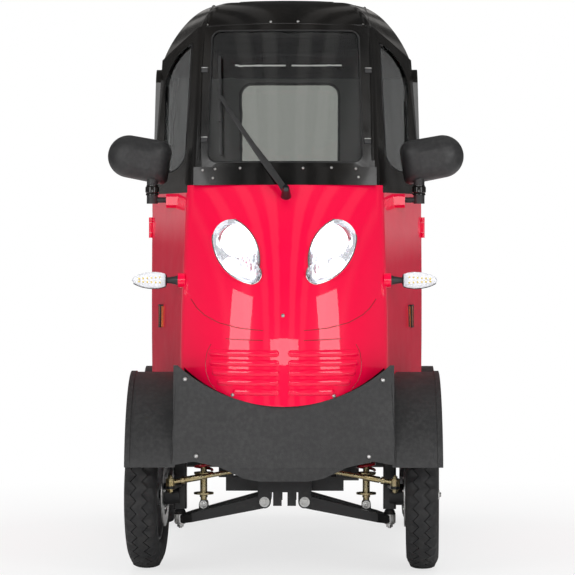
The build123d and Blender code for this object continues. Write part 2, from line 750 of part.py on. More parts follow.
def make_chassis():
    """Square rails, cross members, damper towers and the brackets of the front arms, welded up."""
    low = rail_top_z - rail_size
    deck_low = deck_z - floor_wall
    half = rail_size / 2
    frame = Part()
    for x in (-rail_x, rail_x):
        frame += block(x - half, x + half, rail_front_y, kick_y + rail_size, low, rail_top_z)
        frame += block(x - half, x + half, kick_y, kick_y + rail_size, low, deck_low)
        frame += block(x - half, x + half, kick_y, tail_y - tail_rake - body_wall, deck_low - rail_size, deck_low)
        tower_reach = arm_gap + tower_size / 3
        tower_y0, tower_y1 = front_axle_y - tower_reach, front_axle_y + tower_reach
        frame += block(x - tower_size / 2, x + tower_size / 2, tower_y0, tower_y1, low, tower_height + tower_size)
    reach = damper_x + damper_eye_radius + arm_gap
    for side in (-1, 1):
        x0, x1 = sorted((side * rail_x, side * reach))
        for y in (front_axle_y - arm_gap - tower_size / 3, front_axle_y + arm_gap):
            frame += block(x0, x1, y, y + tower_size / 3, tower_height - tower_size, tower_height + tower_size)
        pin_y = front_axle_y - arm_gap - tower_size / 3
        frame += rod((side * damper_x, pin_y, tower_height), (side * damper_x, front_axle_y + arm_gap + tower_size / 3, tower_height), damper_pin_radius)
    for y, z in ((rail_front_y, subframe_bottom_z), (kick_y, low), (rear_end - overhang_bar, deck_low - rail_size)):
        frame += block(-rail_x, rail_x, y, y + rail_size, z, z + rail_size)
    frame += block(
        -subframe_half, subframe_half, front_axle_y - subframe_depth / 2, front_axle_y + subframe_depth / 2,
        subframe_bottom_z, subframe_top_z,
    )
    frame += rod(
        (0, front_axle_y, subframe_top_z), (0, front_axle_y, pitman_z - pitman_thickness), bearing_radius,
    )
    frame -= rod(
        (0, front_axle_y, subframe_bottom_z - overrun), (0, front_axle_y, pitman_z), shaft_radius + running_clearance,
    )
    for y in (front_axle_y - subframe_depth / 2, front_axle_y + subframe_depth / 2 - lug_depth):
        for x0 in (lug_x0, -lug_x1):
            frame += block(x0, x0 + lug_x1 - lug_x0, y, y + lug_depth, lug_bottom_z, subframe_bottom_z)
    beam_half = arm_spread + arm_boss_length / 2 + seat_gap + lug_depth
    for side in (-1, 1):
        x0, x1 = sorted((side * (upper_pivot_x - arm_boss_radius), side * (rail_x + tower_size / 2)))
        frame += block(
            x0, x1, front_axle_y - beam_half, front_axle_y + beam_half, upper_beam_z, upper_beam_z + tower_size / 2,
        )
    for pivot_x, pivot_z, bottom, top in (
        (lower_pivot_x, lower_pivot_z, lower_pivot_z, subframe_top_z),
        (upper_pivot_x, upper_pivot_z, upper_pivot_z - arm_pin_radius, upper_beam_z),
    ):
        for side in (-1, 1):
            for y in (-1, 1):
                y0 = front_axle_y + y * arm_spread
                outer = y0 + y * (arm_boss_length / 2 + seat_gap)
                y_low, y_high = sorted((outer, outer + y * lug_depth))
                x_mid = side * pivot_x
                frame += block(x_mid - arm_boss_radius, x_mid + arm_boss_radius, y_low, y_high, bottom, top)
                frame += along_y(Pos(x_mid, pivot_z) * Circle(arm_boss_radius), y_low, y_high)
                frame += rod((x_mid, y0 - y * arm_boss_length / 2, pivot_z), (x_mid, outer + y * lug_depth, pivot_z), arm_pin_radius)
    return frame


# Front suspension and steering. The kingpins stand upright.
kingpin_x = 295.0
kingpin_radius = 8.0
ball_radius = 17.0
lower_ball_z = 140.0
lower_pivot_x = 56.0
lower_pivot_z = 195.0
upper_arm_z = 352.0
upper_beam_z = 392.0
upper_pivot_x = 100.0
upper_pivot_z = 352.0
ball_height = 24.0
arm_boss_radius = 18.0
arm_boss_length = 30.0
arm_pin_radius = 8.0
arm_spread = 62.0
arm_gap = 14.0
damper_x = 229.0
damper_eye_z = 181.0
damper_eye_radius = 13.0
damper_pin_radius = 6.0
damper_body_radius = 9.0
damper_body_share = 0.6
spring_radius = 28.0
spring_wire = 5.0
spring_turns = 8
overhang_bar = 100.0
shaft_radius = 10.0
pitman_z = 292.0
pitman_thickness = 8.0
steer_arm_y = 95.0
steer_arm_x = 18.0
eye_radius = 13.0
eye_height = 20.0
eye_pin_radius = 5.0
tie_rod_radius = 6.5
knuckle_eye_z = 240.0
knuckle_half = 18.0
knuckle_bottom_z = 168.0
knuckle_top_z = 326.0


def wishbone(inner_x, inner_z, outer_x, outer_z):
    """A flat A-shaped arm from two bosses on the frame to one at the kingpin, on the left side."""
    bosses = [
        Pos(inner_x, inner_z) * Circle(arm_boss_radius),
        Pos(outer_x - kingpin_radius, outer_z) * Circle(ball_height / 2 - seat_gap),
    ]
    side = make_hull(bosses[0].edges() + bosses[1].edges())
    spread = arm_spread + arm_boss_length / 2
    hole_half = spring_radius + moving_gap
    web_half = hole_half + arm_gap
    web_x = outer_x - 2 * ball_radius
    plan = Polyline(
        (inner_x - arm_boss_radius, front_axle_y - spread), (inner_x + arm_boss_radius, front_axle_y - spread),
        (web_x, front_axle_y - web_half), (outer_x, front_axle_y - ball_radius),
        (outer_x, front_axle_y + ball_radius), (web_x, front_axle_y + web_half),
        (inner_x + arm_boss_radius, front_axle_y + spread), (inner_x - arm_boss_radius, front_axle_y + spread),
        close=True,
    )
    arm = along_y(side, front_axle_y - spread, front_axle_y + spread) & along_z(make_face(plan), 0, waist_z)
    inner_spread = spread - arm_boss_length
    hole = Polyline(
        (inner_x - arm_boss_radius - overrun, front_axle_y - inner_spread), (inner_x + arm_boss_radius, front_axle_y - inner_spread),
        (web_x - seat_gap, front_axle_y - hole_half), (web_x - seat_gap, front_axle_y + hole_half),
        (inner_x + arm_boss_radius, front_axle_y + inner_spread),
        (inner_x - arm_boss_radius - overrun, front_axle_y + inner_spread), close=True,
    )
    arm -= along_z(make_face(hole), 0, waist_z)
    arm -= rod(
        (inner_x, front_axle_y - 2 * spread, inner_z), (inner_x, front_axle_y + 2 * spread, inner_z),
        arm_pin_radius + running_clearance,
    )
    return arm - rod(
        (outer_x, front_axle_y, outer_z - 2 * ball_height), (outer_x, front_axle_y, outer_z + 2 * ball_height),
        ball_radius + seat_gap,
    )


def make_arms():
    """Lower and upper wishbones of both front wheels, with a clevis for the damper on each lower one."""
    lower = wishbone(lower_pivot_x, lower_pivot_z, kingpin_x, lower_ball_z)
    upper = wishbone(upper_pivot_x, upper_pivot_z, kingpin_x, upper_arm_z)
    clevis_face = make_hull(
        (Pos(damper_x, damper_eye_z) * Circle(damper_eye_radius)).edges()
        + (Pos(damper_x, lower_ball_z + ball_height / 2) * Circle(damper_eye_radius)).edges()
    )
    bridge = block(
        damper_x - damper_eye_radius, damper_x + damper_eye_radius, front_axle_y - arm_spread / 2, front_axle_y + arm_spread / 2,
        lower_ball_z, damper_eye_z - damper_eye_radius - seat_gap,
    )
    lower += bridge
    for y in (front_axle_y - arm_gap - tower_size / 4, front_axle_y + arm_gap):
        lower += along_y(clevis_face, y, y + tower_size / 4)
    lower += rod(
        (damper_x, front_axle_y - arm_gap - tower_size / 4, damper_eye_z),
        (damper_x, front_axle_y + arm_gap + tower_size / 4, damper_eye_z), damper_pin_radius,
    )
    return pair(lower) + pair(upper)


def make_ball_joints():
    """Round housings at the arms' tips, each around a kingpin's end."""
    joints = []
    for z in (lower_ball_z, upper_arm_z):
        joint = rod((kingpin_x, front_axle_y, z - ball_height / 2), (kingpin_x, front_axle_y, z + ball_height / 2), ball_radius)
        joint -= rod(
            (kingpin_x, front_axle_y, z - ball_height), (kingpin_x, front_axle_y, z + ball_height),
            kingpin_radius + running_clearance,
        )
        joints += pair(joint)
    return joints


def damper(x, y, low_z, high_z, body_radius):
    """An upright damper with an eye along the car at each end."""
    eye_half = arm_gap - seat_gap
    body = rod((x, y, low_z), (x, y, low_z + (high_z - low_z) * damper_body_share), body_radius)
    body += rod((x, y, low_z), (x, y, high_z), body_radius / 2)
    for z in (low_z, high_z):
        body += rod((x, y - eye_half, z), (x, y + eye_half, z), damper_eye_radius)
    for z in (low_z + spring_seat_lift, high_z - spring_seat_lift):
        body += rod((x, y, z - spring_wire / 2), (x, y, z + spring_wire / 2), spring_radius)
    for z in (low_z, high_z):
        body -= rod((x, y - 2 * eye_half, z), (x, y + 2 * eye_half, z), damper_pin_radius + running_clearance)
    return body


spring_seat_lift = 30.0
rear_damper_x = 285.0
rear_damper_low_z = 262.0
rear_damper_high_z = 425.0


def spring(x, y, low_z, high_z):
    """A coil spring, drawn as touching rings round a thin sleeve."""
    low = low_z + spring_seat_lift + spring_wire / 2 + seat_gap
    high = high_z - spring_seat_lift - spring_wire / 2 - seat_gap
    pitch = (high - low) / spring_turns
    middle = spring_radius - spring_wire
    coil = rod((x, y, low), (x, y, high), middle)
    for turn in range(spring_turns):
        coil += Pos(x, y, low + (turn + 0.5) * pitch) * Torus(middle, spring_wire)
    return coil - rod((x, y, low - overrun), (x, y, high + overrun), middle - spring_wire)


def make_dampers():
    front = damper(damper_x, front_axle_y, damper_eye_z, tower_height, damper_body_radius)
    rear = damper(rear_damper_x, rear_axle_y, rear_damper_low_z, rear_damper_high_z, damper_body_radius)
    return pair(front) + pair(rear)


def make_springs():
    front = spring(damper_x, front_axle_y, damper_eye_z, tower_height)
    rear = spring(rear_damper_x, rear_axle_y, rear_damper_low_z, rear_damper_high_z)
    return pair(front) + pair(rear)


# Rear axle with its motor and trailing arms.
axle_tube_radius = 27.0
axle_stub_radius = 14.0
axle_flange_x = 360.0
gear_radius = 62.0
gear_half = 45.0
motor_radius = 70.0
motor_length = 180.0
trailing_x = 235.0
trailing_pin_radius = 11.0
trailing_radius = 14.0
trailing_front_y = 340.0
trailing_front_z = 270.0


def make_rear_axle():
    """Tube, gear case, coaxial motor, trailing arms and the dampers' seats, bolted up as one."""
    axle = rod((-axle_flange_x, rear_axle_y, wheel_z), (axle_flange_x, rear_axle_y, wheel_z), axle_tube_radius)
    hub_end = rear_wheel_x + hub_length / 2
    axle += rod((-hub_end, rear_axle_y, wheel_z), (hub_end, rear_axle_y, wheel_z), axle_stub_radius)
    axle += rod((-gear_half, rear_axle_y, wheel_z), (gear_half, rear_axle_y, wheel_z), gear_radius)
    motor = rod((gear_half, rear_axle_y, wheel_z), (gear_half + motor_length, rear_axle_y, wheel_z), motor_radius)
    axle += motor
    for side in (-1, 1):
        axle += rod((side * trailing_x, rear_axle_y, wheel_z), (side * trailing_x, trailing_front_y, trailing_front_z), trailing_radius)
        axle += rod(
            (side * trailing_x, trailing_front_y, trailing_front_z),
            (side * (rail_x + rail_size / 2 + seat_gap), trailing_front_y, trailing_front_z), trailing_pin_radius,
        )
        for y in (rear_axle_y - arm_gap - tower_size / 4, rear_axle_y + arm_gap):
            axle += block(
                side * rear_damper_x - damper_eye_radius, side * rear_damper_x + damper_eye_radius, y, y + tower_size / 4,
                wheel_z, rear_damper_low_z + damper_eye_radius,
            )
        axle += rod(
            (side * rear_damper_x, rear_axle_y - arm_gap, rear_damper_low_z),
            (side * rear_damper_x, rear_axle_y + arm_gap, rear_damper_low_z), damper_pin_radius,
        )
    return axle


def steered(shape, x):
    """Turned as the photographed wheels stand, about an upright line at x on the front axle."""
    return shape.rotate(Axis((x, front_axle_y, 0), (0, 0, 1)), rest_steer_degrees)


def turned_point(x, dx, dy):
    """A point beside an upright steering line, after the wheels' turn."""
    angle = radians(rest_steer_degrees)
    return x + dx * cos(angle) - dy * sin(angle), front_axle_y + dx * sin(angle) + dy * cos(angle)


def make_knuckle(side):
    """Upright with kingpin ends, spindle and a steering arm that points forwards."""
    x = side * kingpin_x
    knuckle = block(
        x - knuckle_half, x + knuckle_half, front_axle_y - knuckle_half, front_axle_y + knuckle_half, knuckle_bottom_z,
        knuckle_top_z,
    )
    knuckle = fillet(knuckle.edges().filter_by(Axis.Z), knuckle_half / 3)
    knuckle += rod((x, front_axle_y, lower_ball_z - ball_height / 3), (x, front_axle_y, upper_arm_z + ball_height / 3), kingpin_radius)
    tip = side * (front_wheel_x + hub_length / 2)
    knuckle += rod((x, front_axle_y, wheel_z), (tip, front_axle_y, wheel_z), spindle_radius)
    shoulder = side * (front_wheel_x - hub_length / 2) - side * moving_gap
    knuckle += rod((x, front_axle_y, wheel_z), (shoulder, front_axle_y, wheel_z), hub_radius)
    eye = (x + side * steer_arm_x, front_axle_y - steer_arm_y)
    arm = make_hull((Pos(*eye) * Circle(eye_radius)).edges() + (Pos(x, front_axle_y) * Circle(eye_radius)).edges())
    knuckle += along_z(arm, knuckle_eye_z - pitman_thickness, knuckle_eye_z)
    knuckle += rod((*eye, knuckle_eye_z), (*eye, knuckle_eye_z + eye_height + seat_gap), eye_pin_radius)
    return steered(knuckle, x)


def make_tie_rod(side):
    """A straight rod with an upright eye at each end, from pitman arm to knuckle."""
    outer = turned_point(side * kingpin_x, side * steer_arm_x, -steer_arm_y)
    inner = turned_point(0, side * steer_arm_x, -steer_arm_y)
    low, high = knuckle_eye_z + seat_gap, pitman_z + seat_gap
    start = (*outer, low + eye_height / 2)
    end = (*inner, high + eye_height / 2)
    bar = rod(start, end, tie_rod_radius)
    for point, z in ((outer, low), (inner, high)):
        bar += rod((*point, z), (*point, z + eye_height), eye_radius)
    bar -= rod((*outer, low - overrun), (*outer, low + overrun), eye_pin_radius + running_clearance)
    return bar - rod((*inner, high - overrun), (*inner, high + overrun), eye_pin_radius + open_pivot_clearance)


# Steering: an upright shaft with the pitman arm, and a column that leans back to the handlebar.
joint_z = 425.0
joint_radius = 13.0
joint_wall = 5.0
column_radius = 14.0
column_top_y = -215.0
column_top_z = 965.0
column_bracket_share = 0.72
bar_half = 225.0
bar_radius = 11.0
bar_rise = 35.0
bar_sweep = 60.0
bar_root_share = 0.6
bar_bend_share = 0.55
grip_radius = 16.0
grip_length = 95.0
pod_half = 70.0
pod_depth = 36.0


def make_pitman():
    """Upright shaft, its arm with two eye pins, and the ball of the column's joint."""
    shaft = rod((0, front_axle_y, subframe_bottom_z), (0, front_axle_y, joint_z), shaft_radius)
    shaft += Pos(0, front_axle_y, joint_z) * Sphere(joint_radius)
    eyes = [(side * steer_arm_x, front_axle_y - steer_arm_y) for side in (-1, 1)]
    circles = [(Pos(*eye) * Circle(eye_radius)).edges() for eye in eyes]
    arm = make_hull(circles[0] + circles[1] + (Pos(0, front_axle_y) * Circle(eye_radius + joint_wall)).edges())
    shaft += along_z(arm, pitman_z - pitman_thickness + seat_gap, pitman_z)
    for eye in eyes:
        shaft += rod((*eye, pitman_z), (*eye, pitman_z + eye_height), eye_pin_radius)
    return steered(shaft, 0)


def column_point(share):
    """A point on the column's centre line, from its joint to the handlebar."""
    return (
        0, front_axle_y + share * (column_top_y - front_axle_y), joint_z + share * (column_top_z - joint_z),
    )


def column_turned(shape):
    """Turned about the leaning column as the handlebar stands in the photograph."""
    foot, top = Vector(*column_point(0)), Vector(*column_point(1))
    return shape.rotate(Axis(tuple(foot), tuple(top - foot)), rest_steer_degrees)


def bar_points():
    """Centre line of the handlebar, as a list from its right end to its left."""
    top = column_point(1)
    half = [
        (pod_half * bar_root_share, 0.0, 0.0), (bar_half * bar_bend_share, bar_sweep / 2.5, bar_rise),
        (bar_half, bar_sweep, bar_rise),
    ]
    left = [(x, top[1] + y, top[2] + z) for x, y, z in half]
    return [(-x, y, z) for x, y, z in reversed(left)] + left


def make_column():
    """Leaning column, socket at its foot, instrument pod and the bent bar."""
    foot, top = column_point(0), column_point(1)
    column = rod(foot, top, column_radius)
    column += Pos(*foot) * Sphere(joint_radius + joint_wall)
    for start, end in zip(bar_points()[:-1], bar_points()[1:]):
        column += rod(start, end, bar_radius)
        column += Pos(*end) * Sphere(bar_radius)
    pod = block(-pod_half, pod_half, top[1] - pod_depth, top[1] + pod_depth, top[2] - pod_depth, top[2] + pod_depth)
    column += fillet(pod.edges(), pod_depth / 3)
    column -= Pos(*foot) * Sphere(joint_radius + seat_gap)
    drop = block(-joint_radius * 2, joint_radius * 2, foot[1] - 2 * joint_radius, foot[1] + 2 * joint_radius,
                 foot[2] - 2 * joint_radius - joint_wall, foot[2] - joint_radius / 4)
    return column_turned(column - drop)


def make_grips():
    grips = []
    (x0, y0, z0), (x1, y1, z1) = bar_points()[-2:]
    share = 1 - grip_length / ((x1 - x0) ** 2 + (y1 - y0) ** 2 + (z1 - z0) ** 2) ** 0.5
    start = (x0 + share * (x1 - x0), y0 + share * (y1 - y0), z0 + share * (z1 - z0))
    grip = rod(start, (x1, y1, z1), grip_radius)
    grip -= rod((x0, y0, z0), (x1, y1, z1), bar_radius) + Pos(x1, y1, z1) * Sphere(bar_radius)
    return [column_turned(shape) for shape in pair(grip)]


# Wheels, turned about their own axle line.
def wheel_turned(profile):
    """A wheel part from its half section, drawn with the axle line along X."""
    return revolve(Plane.XY * profile, Axis.X)


def make_tyre():
    """Round-shouldered tyre with open bead."""
    tread, shoulder = tread_width / 2, tyre_width / 2
    crown = tyre_radius - tread_crown
    side_r = tyre_radius - shoulder_drop - tread_crown
    bead = bead_width / 2
    inner = bead_radius + rim_flange
    profile = outline(
        ThreePointArc((-tread, crown), (0, tyre_radius), (tread, crown)),
        ThreePointArc((tread, crown), (shoulder - 2 * tread_crown / 2, crown - shoulder_drop / 3), (shoulder, side_r)),
        ThreePointArc((shoulder, side_r), (shoulder - tread_crown / 2, (side_r + inner) / 2), (bead, bead_radius + rim_wall)),
        Line((bead, bead_radius + rim_wall), (bead, bead_radius)),
        Line((bead, bead_radius), (-bead, bead_radius)),
        Line((-bead, bead_radius), (-bead, bead_radius + rim_wall)),
        ThreePointArc((-bead, bead_radius + rim_wall), (tread_crown / 2 - shoulder, (side_r + inner) / 2), (-shoulder, side_r)),
        ThreePointArc((-shoulder, side_r), (tread_crown - shoulder, crown - shoulder_drop / 3), (-tread, crown)),
    )
    return wheel_turned(profile)


def make_rim(bore):
    """Barrel, dished disc with round windows and a hub bored for its spindle."""
    half = bead_width / 2
    outer = bead_radius - seat_gap
    barrel = rod((-half, 0, 0), (half, 0, 0), outer) - rod((-half - overrun, 0, 0), (half + overrun, 0, 0), outer - rim_wall)
    disc = rod((half / 2 - rim_disc / 2, 0, 0), (half / 2 + rim_disc / 2, 0, 0), outer - rim_wall / 2)
    for i in range(rim_windows):
        angle = radians(360 / rim_windows * i)
        reach = (hub_radius + outer) / 2
        y, z = reach * cos(angle), reach * sin(angle)
        disc -= rod((-half, y, z), (2 * half, y, z), rim_window_radius)
    rim = barrel + disc + rod((-hub_length / 2, 0, 0), (hub_length / 2, 0, 0), hub_radius)
    return rim - rod((-hub_length, 0, 0), (hub_length, 0, 0), bore + running_clearance)


def place_wheel(shape, side, y, x, front):
    """A wheel set on its axle, its disc outwards, and turned if it is a front one."""
    shape = shape if side > 0 else mirrored(shape)
    shape = Pos(side * x, y, wheel_z) * shape
    return steered(shape, side * kingpin_x) if front else shape


# Doors: a red lower panel, a black frame above it and the glass.
door_inner_fall = 4.0
door_window_x0 = -108.0
door_window_x1 = 352.0
door_window_z0 = 1070.0
door_window_z1 = 1392.0
door_corner_radius = 40.0
handle_y = 350.0
handle_z0 = 724.0
handle_z1 = 854.0
handle_width = 22.0
handle_stand = 13.0
door_top_x = 387.0


def door_profile():
    """Section of the left door, seen from the front: a gently swelling skin of even thickness."""
    low, mid, waist = (share * half_body for share in (0.985, 1.0, 0.9955))
    return outline(
        ThreePointArc((low, door_bottom_z), (mid, (door_bottom_z + door_split_z) / 2), (waist, door_split_z)),
        Line((waist, door_split_z), (door_top_x, door_top_z)),
        Line((door_top_x, door_top_z), (door_top_x - door_thickness, door_top_z)),
        Line((door_top_x - door_thickness, door_top_z), (waist - door_thickness, door_split_z)),
        Line((waist - door_thickness, door_split_z), (low - door_thickness, door_bottom_z)),
        Line((low - door_thickness, door_bottom_z), (low, door_bottom_z)),
    )


def make_doors():
    """The left door as panel, frame and glass."""
    front, rear = door_front_y + moving_gap, door_rear_y + moving_gap
    slab = along_y(door_profile(), front - moving_gap, rear + moving_gap)
    edge = rounded_box_face(front, rear, door_bottom_z + seat_gap, door_top_z - seat_gap, door_corner_radius)
    slab &= along_x(edge, 0, body_width)
    centre_z = rear_guard_top_z - rear_guard_radius
    slab -= along_x(Pos(rear_axle_y, centre_z) * Circle(rear_guard_radius + 2 * moving_gap), 0, body_width)
    panel = slab & block(0, body_width, front - overrun, rear + overrun, 0, door_split_z)
    frame = slab & block(0, body_width, front - overrun, rear + overrun, door_split_z, frame_top_z)
    window = rounded_box_face(door_window_x0, door_window_x1, door_window_z0, door_window_z1, door_corner_radius)
    pane = rounded_box_face(
        door_window_x0 + seat_gap, door_window_x1 - seat_gap, door_window_z0 + seat_gap, door_window_z1 - seat_gap,
        door_corner_radius - seat_gap,
    )
    frame -= along_x(window, 0, body_width)
    glass = (Pos(-(door_thickness - glass_thickness) / 2, 0, 0) * slab) & along_x(pane, 0, body_width)
    glass &= Pos((door_thickness - glass_thickness) / 2, 0, 0) * slab
    handle = block(half_body - handle_stand, half_body + handle_stand, handle_y, handle_y + handle_width, handle_z0, handle_z1)
    handle -= block(0, half_body + handle_stand / 3, handle_y, handle_y + handle_width, handle_z0 + handle_width, handle_z1 - handle_width)
    handle -= slab
    axis_x, axis_y = hinge_place()
    for z in hinge_heights:
        panel -= rod((axis_x, axis_y, z - hinge_length), (axis_x, axis_y, z + hinge_length), hinge_radius + moving_gap / 5)
        for low in (z - hinge_length - seat_gap, z + hinge_length / 2 + seat_gap):
            panel += rod((axis_x, axis_y, low), (axis_x, axis_y, low + hinge_length / 2), hinge_radius)
            panel += block(
                axis_x - 2 * hinge_radius, axis_x, axis_y, front + 2 * hinge_radius, low, low + hinge_length / 2,
            )
    panel += handle
    return panel, frame, glass


# Seat, battery and dashboard.
seat_half = 270.0
seat_front_y = 120.0
seat_rear_y = 520.0
seat_base_top_z = 500.0
seat_wall = 10.0
cushion_thickness = 95.0
cushion_radius = 30.0
back_thickness = 90.0
back_top_z = 1050.0
battery_gap = 20.0
battery_top_z = 470.0
dash_half = 246.0
dash_low_z = 960.0
dash_top_z = 1075.0
dash_depth = 130.0


def make_seat():
    """Hollow seat base, cushion and backrest, and the battery block inside the base."""
    floor_top = sill_z + floor_wall
    base = block(-seat_half, seat_half, seat_front_y, riser_y, floor_top, seat_base_top_z)
    base += block(-seat_half, seat_half, riser_y, seat_rear_y, deck_z, seat_base_top_z)
    base -= block(-seat_half + seat_wall, seat_half - seat_wall, seat_front_y + seat_wall, riser_y, sill_z - overrun, seat_base_top_z - seat_wall)
    battery = block(
        -seat_half + battery_gap, seat_half - battery_gap, seat_front_y + battery_gap, riser_y - battery_gap, floor_top, battery_top_z,
    )
    cushion = block(-seat_half, seat_half, seat_front_y, seat_rear_y - back_thickness - moving_gap, seat_base_top_z + seat_gap, seat_base_top_z + cushion_thickness)
    cushion = fillet(cushion.edges(), cushion_radius)
    back = block(-seat_half, seat_half, seat_rear_y - back_thickness, seat_rear_y, seat_base_top_z + seat_gap, back_top_z)
    back = fillet(back.edges(), cushion_radius)
    return base, battery, cushion, back


def make_dashboard():
    """Shelf behind the nose with a bracket that carries the column."""
    y0 = cabin_nose_at(dash_top_z) + frame_wall + overrun
    shelf = block(-dash_half, dash_half, y0, y0 + dash_depth, dash_low_z, dash_top_z) & lower_body(body_wall + seat_gap)
    share = column_bracket_share
    point = column_point(share)
    foot, top = Vector(*column_point(0)), Vector(*column_point(1))
    along = (top - foot).normalized() * column_radius
    collar = rod(tuple(Vector(*point) - along), tuple(Vector(*point) + along), column_radius * 2)
    strut = block(-column_radius, column_radius, y0, point[1], point[2], dash_top_z - overrun)
    shelf += strut + collar
    return shelf - rod(foot, top, column_radius + moving_gap / 5)


# Mirrors. Outline of the left housing from the front: shares of its width outwards and of its height upwards.
mirror_x0 = 327.0
mirror_x1 = 512.0
mirror_z0 = 1084.0
mirror_z1 = 1225.0
mirror_front_y = -445.0
mirror_depth = 62.0
mirror_layer_shares = [(0.40, 0.0), (0.90, 0.4), (1.0, 1.0)]
mirror_glass_share = 0.9
# Round corners of the housing seen from the front: place in its width and height, radius in its height.
mirror_corner_shares = [(0.178, 0.659, 0.231), (0.665, 0.568, 0.432), (0.170, 0.137, 0.137)]
mirror_stalk_x = 382.0
mirror_stalk_radius = 16.0
mirror_elbow_z = 1044.0
mirror_glass_thickness = 3.0


def mirror_face(share):
    """The housing's outline, shrunk about its middle by a share."""
    width, height = mirror_x1 - mirror_x0, mirror_z1 - mirror_z0
    middle_x, middle_z = (mirror_x0 + mirror_x1) / 2, (mirror_z0 + mirror_z1) / 2
    corners = []
    for across, up, radius in mirror_corner_shares:
        x, z = mirror_x0 + across * width, mirror_z0 + up * height
        corner = Pos(middle_x + (x - middle_x) * share, middle_z + (z - middle_z) * share) * Circle(radius * height * share)
        corners += corner.edges()
    return make_hull(corners)


def make_mirrors():
    """Rounded housings on bent stalks, and the glass in their backs."""
    sections = [
        Plane.XZ.offset(-(mirror_front_y + depth * mirror_depth)) * mirror_face(share)
        for share, depth in mirror_layer_shares
    ]
    housing = loft(sections)
    rear_y = mirror_front_y + mirror_depth
    pane = mirror_face(mirror_glass_share)
    housing -= along_y(pane, rear_y - 2 * mirror_glass_thickness, rear_y + overrun)
    glass = along_y(
        offset(pane, amount=-seat_gap), rear_y - 2 * mirror_glass_thickness + seat_gap, rear_y - mirror_glass_thickness,
    )
    y = mirror_front_y + mirror_depth / 2
    elbow = (mirror_stalk_x, y, mirror_elbow_z)
    housing += rod(elbow, (mirror_stalk_x, y, (mirror_z0 + mirror_z1) / 2 - mirror_depth / 2), mirror_stalk_radius - seat_gap)
    housing += rod((mirror_stalk_x, y, mirror_elbow_z - mirror_stalk_radius), (mirror_stalk_x, y, mirror_elbow_z + mirror_stalk_radius), mirror_stalk_radius)
    inner = (mirror_block_x1 + seat_gap, y, mirror_elbow_z - mirror_stalk_radius / 3)
    housing += rod((mirror_stalk_x, y, mirror_elbow_z - mirror_stalk_radius / 3), inner, mirror_stalk_radius / 2)
    return pair(housing), pair(glass)


def main():
    """Build each piece and store it under its plain name."""
    os.makedirs("parts", exist_ok=True)
    lower_outer, lower_inner = lower_body(), lower_body(body_wall)
    lower_shell = lower_outer - lower_inner
    lower_proud = lower_body(-lamp_stand)
    cabin_shell = cabin_body() - cabin_body(frame_wall)

    write("chassis_frame", make_chassis())
    write("suspension_arms", *make_arms())
    write("ball_joints", *make_ball_joints())
    write("dampers", *make_dampers())
    write("coil_springs", *make_springs())
    write("rear_axle", make_rear_axle())
    write("floor_pan", make_floor())
    base, battery, cushion, back = make_seat()
    write("seat_base", base)
    write("battery_pack", battery)
    write("seat_cushion", cushion)
    write("seat_back", back)
    write("dashboard", make_dashboard())
    nose, panels = make_nose(lower_shell), make_side_panels(lower_shell)
    write("nose_panel", nose)
    write("front_side_panels", *panels)
    write("front_mudguard", make_front_mudguard(nose, panels))
    write("rear_mudguard", make_rear_mudguard())
    write("cowl", make_cowl())
    write("cabin_frame", make_cabin_frame(cabin_shell))
    write("roof_panel", make_roof())
    windshield, side_glass, rear_glass = make_glass()
    write("windshield", windshield)
    write("side_windows", *side_glass)
    write("rear_window", rear_glass)
    write("rear_body", make_rear_body(lower_shell))
    write("trunk_lid", make_trunk_lid(lower_shell))
    write("headlamps", *make_headlamps(lower_proud, lower_inner))
    write("indicator_lamps", *make_indicators())
    write("side_markers", *make_side_markers())
    write("tail_lamps", *make_tail_lamps())
    write("wiper", make_wiper())
    housings, mirror_glass = make_mirrors()
    write("mirrors", *housings)
    write("mirror_glass", *mirror_glass)
    write("steering_column", make_column())
    write("handlebar_grips", *make_grips())
    write("pitman_shaft", make_pitman())
    panel, frame, glass = make_doors()
    tyre = make_tyre()
    for side, name in ((1, "left"), (-1, "right")):
        write(f"knuckle_{name}", make_knuckle(side))
        write(f"tie_rod_{name}", make_tie_rod(side))
        for piece, kind in ((panel, "panel"), (frame, "frame"), (glass, "glass")):
            write(f"door_{kind}_{name}", piece if side > 0 else mirrored(piece))
        for end, y, x, bore in (
            ("front", front_axle_y, front_wheel_x, spindle_radius), ("rear", rear_axle_y, rear_wheel_x, axle_stub_radius),
        ):
            write(f"tyre_{end}_{name}", place_wheel(tyre, side, y, x, end == "front"))
            write(f"rim_{end}_{name}", place_wheel(make_rim(bore), side, y, x, end == "front"))


main()
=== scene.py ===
import math

import bmesh
import bpy
from mathutils import Matrix, Vector
from mathutils.bvhtree import BVHTree


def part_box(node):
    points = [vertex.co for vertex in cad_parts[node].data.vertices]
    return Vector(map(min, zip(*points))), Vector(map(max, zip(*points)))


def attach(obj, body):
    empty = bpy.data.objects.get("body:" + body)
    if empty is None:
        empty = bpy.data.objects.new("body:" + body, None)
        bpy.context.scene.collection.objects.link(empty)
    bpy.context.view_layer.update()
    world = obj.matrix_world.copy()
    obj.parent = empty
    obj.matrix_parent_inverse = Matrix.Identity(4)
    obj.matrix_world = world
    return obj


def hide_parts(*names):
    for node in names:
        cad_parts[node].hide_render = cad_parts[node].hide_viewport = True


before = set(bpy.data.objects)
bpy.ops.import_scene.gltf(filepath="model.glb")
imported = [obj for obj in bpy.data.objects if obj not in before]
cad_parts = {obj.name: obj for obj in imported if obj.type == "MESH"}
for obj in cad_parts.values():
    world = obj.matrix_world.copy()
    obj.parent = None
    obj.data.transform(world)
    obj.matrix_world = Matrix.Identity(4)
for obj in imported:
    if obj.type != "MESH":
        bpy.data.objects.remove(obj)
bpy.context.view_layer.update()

# The camera that took the photograph, and its frame in pixels.
FRAME_SIZE = 575
FOCAL_PIXELS = 2630
SENSOR = 36.0
EYE = Vector((0.096, -7.95, 0.95))
